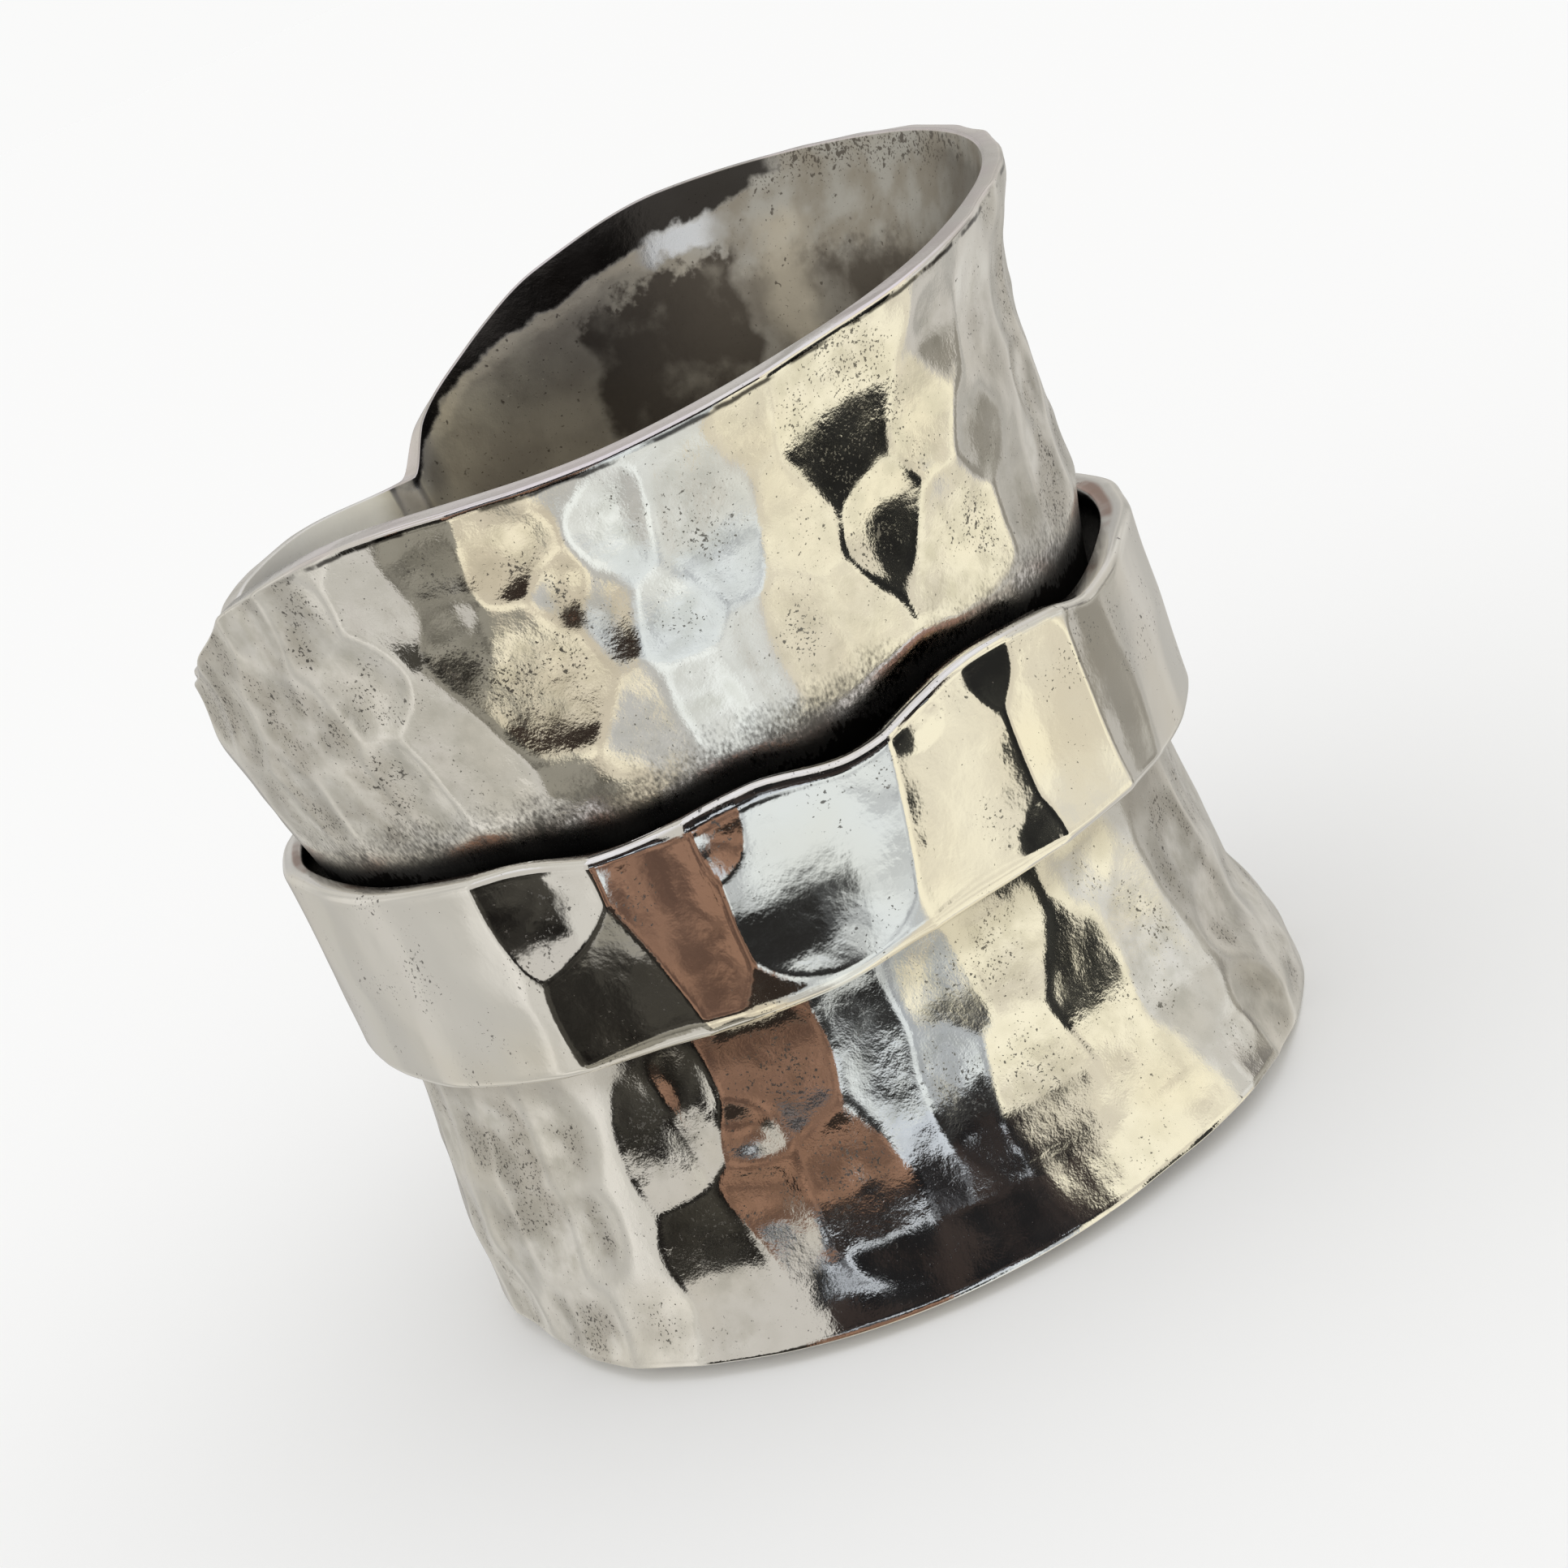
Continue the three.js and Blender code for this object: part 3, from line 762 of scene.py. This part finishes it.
def burnished_silver():
    """The loose band's metal: silver with a few specks, a painted brown glint on its edges and a black
    inside.
    """
    kit = Finish("burnished_silver")
    inside, satin = map(kit.note, ("inside", "satin"))
    grime = kit.fade(kit.noise(1.5, 3, 17.0), 0.45, 0.66)
    pits = kit.math("MAXIMUM", specks(kit, 0.075, 0.715, 18.0, grime),
                    specks(kit, 0.16, 0.745, 19.0, grime))
    tone = kit.mix(kit.fade(kit.noise(3.5, 3, 12.0), 0.4, 0.75), SILVER, WARM_SILVER)
    tone = kit.mix(kit.times(pits, 0.7), tone, OXIDE)
    # Painted reflection: brown patches on the cut edges stand for brown glints.
    brown_glint = kit.times(kit.between(inside, *BROWN_GLINT_EDGE),
                      kit.fade(kit.noise(2.5, 3, 38.0), 0.42, 0.58))
    tone = kit.mix(brown_glint, tone, BROWN_GLINT)
    kit.fill(kit.metal["Base Color"], kit.mix(kit.fade(inside, 0.5, 1.0), tone, OXIDE))

    rough = kit.fade(kit.noise(1.4, 2, 16.0), 0.35, 0.7, 0.045, 0.09)
    rough = kit.math("MULTIPLY_ADD", satin, 0.12, rough)
    kit.fill(kit.metal["Roughness"], kit.math("MULTIPLY_ADD", pits, 0.3, rough))
    kit.metal["Metallic"].default_value = 1.0
    wide, fine = BURNISHED_BUMPS
    peel = kit.bump(kit.noise(0.2, 2, 11.0), fine, kit.bump(kit.noise(0.7, 4, 37.0), wide))
    kit.fill(kit.metal["Normal"], peel)
    print("burnished silver:", len(kit.nodes), "nodes")
    return kit.material


# %% [markdown]
# ## Where the profile varies
# The profile's table is the same all round, and a few rules vary it. The front was spread a little
# further at the foot and the shoulder. The waist under the loose band was left smooth, so the marks
# fade out there. Inside, the sheet's end lies over its start, which makes the wall thicker towards
# that cut end and then drops back over a short bevel. At the back the rim's inside is a small lip.
# Each rule is a share from 0 to 1 times a size, so that each can be tuned alone.

# %% Where the profile varies
FRONT, FRONT_HALF_ANGLE, FRONT_FADE = 270, 52, 25
FRONT_SPREAD = [  # height, how far the front stands proud of the profile
    (0.0, 0.78), (0.6, 0.46), (1.2, 0.22), (1.9, 0.06), (2.6, 0.0), (7.0, -0.24), (13.0, -0.16),
    (19.0, 0.20), (22.0, 0.20),
]
WAIST_FROM, WAIST_TO, WAIST_FADE = 7.4, 13.2, 0.8
FOOT_DENTS = 0.4
LAP_ANGLE, LAP_LENGTH, LAP_BEVEL, LAP_STEP = 117.5, 40, 2.2, 0.6  # degrees, and the step in mm
LIP_MIDDLE, LIP_HALF_ANGLE, LIP_FADE, LIP_FLARE, LIP_REACH = 100, 45, 20, 0.14, 1.5


def in_front(angle):
    """1 round the front, 0 at the sides and the back."""
    return ease((FRONT_HALF_ANGLE - np.abs(angle - FRONT)) / FRONT_FADE + 0.5)


def wall_radius(angle, height):
    """The outside's radius without its marks: the profile, plus the spread in front."""
    return smooth_curve(OUTSIDE, 1, height) + in_front(angle) * smooth_curve(FRONT_SPREAD, 1, height)


def hammering_share(height):
    """How deep the marks are, from 0 in the waist to 1 above and below it, and less at the foot."""
    in_waist = np.minimum(height - WAIST_FROM, WAIST_TO - height)
    at_foot = FOOT_DENTS + (1 - FOOT_DENTS) * ease(height / WAIST_FADE)
    return (1 - ease(in_waist / WAIST_FADE + 0.5)) * at_foot


def lap_step(angle):
    """Extra thickness inside: it grows towards the cut end, then drops over a short bevel."""
    before = LAP_ANGLE - angle
    grown = ease(1 - before / LAP_LENGTH)
    return LAP_STEP * np.where(before >= 0, grown, np.clip(1 + before / LAP_BEVEL, 0, 1))


def lip_flare(angle, below):
    """At the back the upper rim's inside is spread outwards, with the square of the nearness."""
    back = ease((LIP_HALF_ANGLE - np.abs(angle - LIP_MIDDLE)) / LIP_FADE + 0.5)
    return LIP_FLARE * back * np.clip(1 - below / LIP_REACH, 0, 1) ** 2


print("waist", round(2 * float(wall_radius(0, np.array(10.0))), 2), "mm across")

# %% [markdown]
# ## The outside of the base band
# It's made in three stretches of height, because only the two hammered stretches need close rows;
# the waist under the loose band is smooth and hidden. The marks and the unevenness are taken off
# the profile's radius.

# %% The outside
BASE_COLUMNS = 624
LOW_ROWS, WAIST_ROWS, HIGH_ROWS = 52, 8, 64
WAIST_LOW, WAIST_HIGH = 8.0, 12.3
FOOT_ROUND = 0.04
BASE_WAVES = ((0.012, 2.6, 1), (0.004, 0.9, 2))  # height, length, seed
FULL_HOLLOW = 0.14


def between_heights(start, end, count):
    """Evenly spaced heights from the start to the end, for every angle at once."""
    return start + (end - start) * np.linspace(0, 1, count)[None, :]


def outside_wall(angle, bottom, top):
    """Radius is the profile's, less the marks and the waves. Also gives two notes.

    The crest is how near a ridge is, and the hollow is how far down in a mark a place is.
    """
    height = np.concatenate([
        between_heights(bottom + FOOT_ROUND, WAIST_LOW, LOW_ROWS),
        between_heights(WAIST_LOW, WAIST_HIGH, WAIST_ROWS)[:, 1:-1] + 0 * angle,
        between_heights(WAIST_HIGH, top, HIGH_ROWS),
    ], axis=1)
    radius = wall_radius(angle, height)
    depth, crest = hammered(base_dents, BASE_SOFTNESS, angle, height, radius)
    places = ring_points(angle, radius, height)
    waver = sum(tall * ripple(places, length, seed) for tall, length, seed in BASE_WAVES)
    share = hammering_share(height)
    print("deepest mark", round(float(depth.max()), 2), "mm")
    return radius - (depth + waver) * share, height, crest, ease(depth / FULL_HOLLOW) * share


# %% [markdown]
# ## The inside of the base band
# The inside is the profile moved in by the wall's thickness, square to the wall. Where the wall
# leans, square isn't level: the radius changes by the thickness over the slant, and the height by
# the lean's share of it. A Solidify modifier could make the wall, but it would carry the hammer
# marks through to the inside, which is smooth.

# %% The inside
WALL, RIM_WALL, RIM_THINNING_REACH = 0.75, 0.54, 3
EDGE_ROUND = 0.1
INSIDE_ROWS = 20
CLOSE_AT_TOP = 0.35
LEAN_SPAN = 0.1
print("the wall is", WALL, "mm thick, and", RIM_WALL, "mm at the rims")


def inside_wall(angle, bottom, top):
    """Radius is the profile's, less the thickness divided by the length of the slant."""
    down = np.linspace(0, 1, INSIDE_ROWS)[None, :]
    spacing = CLOSE_AT_TOP * down + (1 - CLOSE_AT_TOP) * down**2
    height = top + (bottom + EDGE_ROUND - top) * spacing
    to_rim = np.minimum(height - bottom, top - height) / RIM_THINNING_REACH
    thickness = RIM_WALL + (WALL - RIM_WALL) * ease(to_rim) + lap_step(angle)
    above, under = height + LEAN_SPAN / 2, height - LEAN_SPAN / 2
    lean = (wall_radius(angle, above) - wall_radius(angle, under)) / LEAN_SPAN
    slant = np.hypot(1, lean)
    radius = wall_radius(angle, height) - thickness / slant
    radius = radius + lip_flare(angle, top - height)
    return radius, height + np.maximum(0, thickness * lean / slant)


# %% [markdown]
# ## Round edges, and the whole base band
# A cut edge that has been worn on a finger is round. Each edge is a quarter of an ellipse between
# the wall and the flat cut, in three points. A Bevel modifier would round it too, but here the
# round is part of the loop. Then the outside, the cut rim, the inside and the foot are put end to
# end, and each stretch says if it's inside and if it's rim.

# %% Round edges
ROUND_STEPS = (0.3, 0.55, 0.8)  # shares of the quarter turn


def quarter_round(start_radius, start_height, end_radius, end_height):
    """Three points of a quarter ellipse: radius by one less the cosine, height by the sine."""
    sweep = np.array(ROUND_STEPS)[None, :] * np.pi / 2
    return (start_radius + (end_radius - start_radius) * (1 - np.cos(sweep)),
            start_height + (end_height - start_height) * np.sin(sweep))


def backwards(radius, height):
    """The same points in the other order."""
    return radius[:, ::-1], height[:, ::-1]


# %% The base band


def base_band(material):
    """Sweeps the wall's loop round the ring: up the outside, over the rim, down and back."""
    angle = np.arange(BASE_COLUMNS)[:, None] * 360 / BASE_COLUMNS
    top, bottom = smooth_curve(UPPER_RIM, 1, angle), smooth_curve(LOWER_RIM, 1, angle)
    out_radius, out_height, crest, hollow = outside_wall(angle, bottom, top)
    in_radius, in_height = inside_wall(angle, bottom, top)

    rim_out, up_out = out_radius[:, -1:], out_height[:, -1:]
    rim_in, up_in = in_radius[:, :1], in_height[:, :1]
    foot_out, foot_in = out_radius[:, :1], in_radius[:, -1:]
    cut_out = (rim_out - EDGE_ROUND, up_out + EDGE_ROUND)
    cut_in = (rim_in + EDGE_ROUND, up_in + EDGE_ROUND / 2)
    sole_in = (foot_in + EDGE_ROUND, bottom)
    sole_out = (foot_out - FOOT_ROUND, bottom)
    radius, height, inside, rim = join_stretches([  # radii, heights, inside, rim
        (out_radius, out_height, 0, 0),
        (*quarter_round(rim_out, up_out, *cut_out), 0, 1),
        (*cut_out, 0, 1),
        (*cut_in, 0, 1),
        (*backwards(*quarter_round(rim_in, up_in, *cut_in)), 0.5, 1),
        (in_radius, in_height, 1, 0),
        (*quarter_round(foot_in, bottom + EDGE_ROUND, *sole_in), 1, 0),
        (*sole_in, 0.5, 0),
        (*sole_out, 0, 0),
        (*backwards(*quarter_round(foot_out, bottom + FOOT_ROUND, *sole_out)), 0, 0),
    ], BASE_COLUMNS)
    notes = {
        "inside": inside, "rim": rim, "crest": only_outside(crest, radius),
        "hollow": only_outside(hollow, radius), "below": top - height, "satin": at_sides(angle),
    }
    points = ring_points(angle, radius, height, smooth_curve(OUTSIDE, 2, height))
    return skin("base_band_silver", points, notes, material)


base = base_band(hammered_silver())
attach(base, "base")
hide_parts("base_band")

# %% [markdown]
# ## The loose band's shape
# The same recipe, with fewer and larger marks. It's a slightly leaning hoop with a straight inside.
# Both edges wander a little, and their outer corners are worn to a bright round. It could be a
# wider copy of the base band's waist, but it was hammered by itself, so its marks are its own.

# %% Tables of the loose band
LOOSE_LOWER, LOOSE_UPPER, LOOSE_UPPER_DRIFT, LOOSE_LEAN = 10.72, 10.85, 0.1, 0.2
LOOSE_EDGES = [  # angle, lower edge, upper edge
    (0, 7.75, 12.45), (30, 7.6, 12.3), (60, 7.8, 12.5), (90, 7.7, 12.35), (120, 7.85, 12.5),
    (150, 7.65, 12.3), (180, 7.6, 12.35), (200, 7.5, 12.5), (220, 7.48, 12.38), (238, 7.56, 12.44),
    (254, 7.64, 12.15), (270, 7.62, 12.38), (282, 7.8, 12.05), (300, 7.8, 12.7),
    (314, 7.8, 12.45), (322, 7.8, 12.12), (340, 7.7, 12.4), (360, 7.75, 12.45),
]
LOOSE_WEAR = [  # angle, round of the lower corner, round of the upper corner
    (0, 0.22, 0.22), (236, 0.22, 0.22), (252, 0.45, 0.25), (265, 0.3, 0.5), (278, 0.3, 0.4),
    (291, 0.5, 0.22), (308, 0.22, 0.22), (360, 0.22, 0.22),
]
mean_width = np.mean([high - low for _, low, high in LOOSE_EDGES])
print("the loose band is about", round(float(mean_width), 1), "mm wide")


def loose_radius(angle, level):
    """The outside's radius: level is 0 at the lower edge, which stands proud in front, and 1 at
    the upper edge, which stands proud elsewhere."""
    lean = LOOSE_LEAN * in_front(angle) * (0.5 - level)
    upper_drift = LOOSE_UPPER_DRIFT * level * np.cos(np.radians(angle))
    return LOOSE_LOWER + (LOOSE_UPPER - LOOSE_LOWER) * level + upper_drift + lean


# %% The loose band
LOOSE_COLUMNS, LOOSE_ROWS = 800, 44
LOOSE_INNER, CORNER_DEPTH = 10.15, 0.22
CORNER_POINTS, LOOSE_INSIDE_ROWS = 8, 8
EDGE_NOTE = 0.3
LOOSE_WAVES = ((0.012, 3.0, 3), (0.003, 1.0, 4))  # height, length, seed


def loose_band(material):
    """Sweeps a narrow hoop's loop round the ring: the hammered outside, a worn corner, the straight
    inside, and the lower worn corner."""
    angle = np.arange(LOOSE_COLUMNS)[:, None] * 360 / LOOSE_COLUMNS
    low, high = smooth_curve(LOOSE_EDGES, 1, angle), smooth_curve(LOOSE_EDGES, 2, angle)
    lower_wear, upper_wear = smooth_curve(LOOSE_WEAR, 1, angle), smooth_curve(LOOSE_WEAR, 2, angle)
    start, end = low + lower_wear, high - upper_wear
    height = between_heights(start, end, LOOSE_ROWS)
    radius = loose_radius(angle, (height - low) / (high - low))
    depth, crest = hammered(loose_dents, LOOSE_SOFTNESS, angle, height, radius)
    places = ring_points(angle, radius, height)
    radius = radius - depth
    for tall, length, seed in LOOSE_WAVES:
        radius = radius - tall * ripple(places, length, seed)

    turn = np.linspace(0, np.pi / 2, CORNER_POINTS)[None, 1:]
    worn = CORNER_DEPTH * (1 - np.cos(turn))
    upper_corner = (radius[:, -1:] - worn, end + upper_wear * np.sin(turn))
    lower_corner = (radius[:, :1] - worn, start - lower_wear * np.sin(turn))
    inner_height = between_heights(high - EDGE_ROUND, low + EDGE_ROUND, LOOSE_INSIDE_ROWS)
    rounded = LOOSE_INNER + EDGE_ROUND + 0 * high
    all_radius, all_height, inside = join_stretches([  # radii, heights, inside
        (radius, height, 0),
        (*upper_corner, 0),
        (rounded, high, EDGE_NOTE),
        (LOOSE_INNER + 0 * inner_height, inner_height, 1),
        (rounded, low, EDGE_NOTE),
        (*backwards(*lower_corner), 0),
    ], LOOSE_COLUMNS)
    notes = {"inside": inside, "crest": only_outside(crest, all_radius), "satin": at_sides(angle)}
    points = ring_points(angle, all_radius, all_height)
    return skin("loose_band_silver", points, notes, material)


loose = loose_band(burnished_silver())
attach(loose, "spinner")
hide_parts("loose_band")

# %% [markdown]
# ## The floor
# A plain pale table. It catches the soft shadow under the ring. It's hidden from the ring's own
# mirror, so that the metal shows the tent's cards down to the horizon and under it.

# %% Floor
HALF_FLOOR = 1.5
PAPER = (0.93, 0.93, 0.925, 1)
PAPER_ROUGHNESS = 0.9

floor_mesh = bpy.data.meshes.new("floor")
floor_corners = [(x * HALF_FLOOR, y * HALF_FLOOR, 0) for x, y in ((-1, -1), (1, -1), (1, 1), (-1, 1))]
floor_mesh.from_pydata(floor_corners, [], [(0, 1, 2, 3)])
floor = bpy.data.objects.new("floor", floor_mesh)
floor.visible_glossy = False
bpy.context.collection.objects.link(floor)
paper = bpy.data.materials.new("paper")
paper.use_nodes = True
paper_sockets = paper.node_tree.nodes["Principled BSDF"].inputs
paper_sockets["Base Color"].default_value = PAPER
paper_sockets["Roughness"].default_value = PAPER_ROUGHNESS
paper_sockets["Specular IOR Level"].default_value = 0.0
floor_mesh.materials.append(paper)
print("floor", 2 * HALF_FLOOR, "m wide")

# %% [markdown]
# ## The light
# A mirror needs something to show. In a studio such a ring stands in a white tent, with cards held
# round it: a dark card gives a facet its shape, a cream one warms it. Here the tent is the world
# itself. A direction is turned into an angle round and an angle up, and each card is a patch of
# those angles over the cards before it. Its edge is soft and wavers, and its face is mottled, by a
# few noises that all cards share. Only glossy rays see the cards. Everything else gets plain white
# light, and the camera sees a pale backdrop. Lamps and real cards could stand round the ring
# instead, but here two angles place a card, and no card gets in the camera's way.

# %% Cards
TENT = (0.60, 0.58, 0.54)
CARDS = [  # round, up, half width, half height (degrees), edge, waver, colour, mottle colour
    (0, 80, 180, 38, 14, 4, (0.88, 0.88, 0.92), (0.74, 0.74, 0.78)),
    (0, -90, 180, 26, 8, 4, (0.95, 0.92, 0.84), (0.80, 0.77, 0.68)),
    (241, -46, 17, 30, 4, 7, (0.97, 0.90, 0.70), (0.64, 0.58, 0.46)),
    (263, -46, 9, 30, 4, 6, (0.45, 0.45, 0.43), (0.60, 0.60, 0.58)),
    (281, -44, 14, 36, 5, 8, (0.95, 1.0, 0.99), (0.73, 0.755, 0.735)),
    (279, -6, 21, 22, 3, 8, (0.80, 0.86, 0.88), (0.42, 0.45, 0.48)),
    (261, -7, 20, 4, 2, 6, (0.022, 0.022, 0.022), (0.08, 0.085, 0.09)),
    (332, -22, 34, 60, 3, 8, (1.0, 0.95, 0.75), (0.74, 0.69, 0.56)),
    (362, 8, 10, 22, 4, 6, (0.78, 0.78, 0.75), (0.62, 0.61, 0.57)),
    (222, -48, 11, 27, 2, 6, (0.30, 0.285, 0.24), (0.06, 0.055, 0.045)),
    (219, -12, 14, 11, 1.2, 8, (0.010, 0.009, 0.008), (0.06, 0.056, 0.047)),
    (258, 4, 26, 5, 1.5, 6, (0.66, 0.72, 0.80), (0.40, 0.44, 0.50)),
    (247, -5, 17, 12, 1.2, 6, (0.31, 0.18, 0.122), (0.115, 0.068, 0.050)),
    (247, -18.2, 17, 3.6, 1.0, 4, (0.018, 0.014, 0.012), (0.045, 0.033, 0.026)),
    (291, 3.5, 9, 4.5, 1.5, 6, (0.022, 0.022, 0.022), (0.05, 0.05, 0.05)),
    (271, 22.5, 38, 17, 1.5, 7, (0.010, 0.010, 0.011), (0.040, 0.030, 0.027)),
    (268, 12, 30, 2.8, 0.8, 13, (0.70, 0.76, 0.84), (0.05, 0.05, 0.055)),
    (332, -15, 9, 12.5, 1.0, 4, (0.020, 0.020, 0.019), (0.04, 0.04, 0.035)),
    (15, -14, 6, 15, 3, 9, (0.30, 0.285, 0.25), (0.50, 0.485, 0.44)),
    (28, -25, 4, 45, 4, 8, (0.40, 0.39, 0.36), (0.48, 0.47, 0.44)),
    (45, -15, 6, 50, 5, 8, (0.72, 0.71, 0.67), (0.60, 0.58, 0.54)),
    (62, -15, 6, 50, 5, 8, (0.42, 0.41, 0.38), (0.50, 0.49, 0.46)),
    (22, 4, 5, 6, 2, 6, (0.18, 0.17, 0.16), (0.42, 0.41, 0.385)),
    (162, 0, 44, 90, 2, 5, (0.66, 0.645, 0.60), (0.56, 0.545, 0.50)),
    (191, -20, 5, 50, 4, 8, (0.82, 0.80, 0.75), (0.71, 0.69, 0.64)),
    (174, -20, 6, 50, 4, 8, (0.52, 0.51, 0.475), (0.58, 0.565, 0.53)),
    (156, -20, 6, 50, 4, 8, (0.76, 0.74, 0.69), (0.62, 0.60, 0.56)),
    (138, -20, 7, 50, 4, 8, (0.48, 0.47, 0.44), (0.56, 0.545, 0.51)),
    (95, 5, 18, 40, 8, 8, (0.40, 0.39, 0.37), (0.60, 0.59, 0.57)),
]
print("cards:", len(CARDS))

# %% The shape of a card
ROUND_CORNER = math.radians(8)


def card_share(kit, around, above, card_noise, turn, rise, wide, tall, edge, wander):
    """1 on a card and 0 off it: how far a direction is outside the card's rectangle of angles,
    with round corners and a wavering edge, faded out over the edge's softness."""
    off = kit.math("WRAP", kit.math("SUBTRACT", around, math.radians(turn)), math.pi, -math.pi)
    sideways = kit.math("SUBTRACT", kit.math("ABSOLUTE", off), math.radians(wide))
    off = kit.math("ABSOLUTE", kit.math("SUBTRACT", above, math.radians(rise)))
    upwards = kit.math("SUBTRACT", off, math.radians(tall))
    out = kit.math("SMOOTH_MAX", sideways, upwards, ROUND_CORNER)
    out = kit.math("ADD", out, kit.times(card_noise, math.radians(2 * wander)))
    return kit.fade(out, -math.radians(edge), math.radians(edge), 1.0, 0.0)


# %% The tent
SHARED_NOISES = 3
SEED_STEP = 3.7
EDGE_NOISE_SIZE, MOTTLE_NOISE_SIZE, TENT_NOISE_DETAIL = 1 / 5, 1 / 4, 5
MOTTLE_FROM, MOTTLE_TO = -0.08, 0.12
WHITE, WHITE_STRENGTH = (1, 1, 1, 1), 1.03
BACKDROP = (0.955, 0.955, 0.95, 1)


def light_tent():
    """Makes the world: each card in turn is mixed over the tent, and light paths choose who sees it."""
    world = bpy.data.worlds.new("tent")
    bpy.context.scene.world = world
    world.use_nodes = True
    world.node_tree.nodes.clear()
    kit = Recipe(world.node_tree, "Generated", 1)
    axes = kit.nodes.new("ShaderNodeSeparateXYZ")
    kit.links.new(kit.place, axes.inputs[0])
    around = kit.math("ARCTAN2", axes.outputs[1], axes.outputs[0])
    above = kit.math("ARCSINE", axes.outputs[2])

    def shared_noises(size, first_seed):
        """A few noises from about -0.5 to 0.5."""
        return [kit.math("SUBTRACT", kit.noise(size, TENT_NOISE_DETAIL, SEED_STEP * k + first_seed), 0.5)
                for k in range(SHARED_NOISES)]

    edges = shared_noises(EDGE_NOISE_SIZE, 0)
    mottles = shared_noises(MOTTLE_NOISE_SIZE, 1)
    colour = (*TENT, 1)
    for number, (*place, card, mottle) in enumerate(CARDS):
        share = card_share(kit, around, above, edges[number % SHARED_NOISES], *place)
        mottled = kit.fade(mottles[number % SHARED_NOISES], MOTTLE_FROM, MOTTLE_TO)
        colour = kit.mix(share, colour, kit.mix(mottled, (*card, 1), (*mottle, 1)))

    def light(colour, strength=1.0):
        """A light of one colour."""
        node = kit.nodes.new("ShaderNodeBackground")
        kit.fill(node.inputs["Color"], colour)
        node.inputs["Strength"].default_value = strength
        return node.outputs[0]

    def choose(ray, other, chosen):
        """The chosen light for one kind of ray, the other light for the rest."""
        node = kit.nodes.new("ShaderNodeMixShader")
        for socket, value in zip(node.inputs, (rays.outputs[ray], other, chosen)):
            kit.links.new(value, socket)
        return node.outputs[0]

    rays = kit.nodes.new("ShaderNodeLightPath")
    by_gloss = choose("Is Glossy Ray", light(WHITE, WHITE_STRENGTH), light(colour))
    seen = choose("Is Camera Ray", by_gloss, light(BACKDROP))
    kit.links.new(seen, kit.nodes.new("ShaderNodeOutputWorld").inputs[0])
    print("tent with", len(CARDS), "cards,", len(kit.nodes), "nodes")


light_tent()
bpy.context.scene.view_settings.view_transform = "Standard"
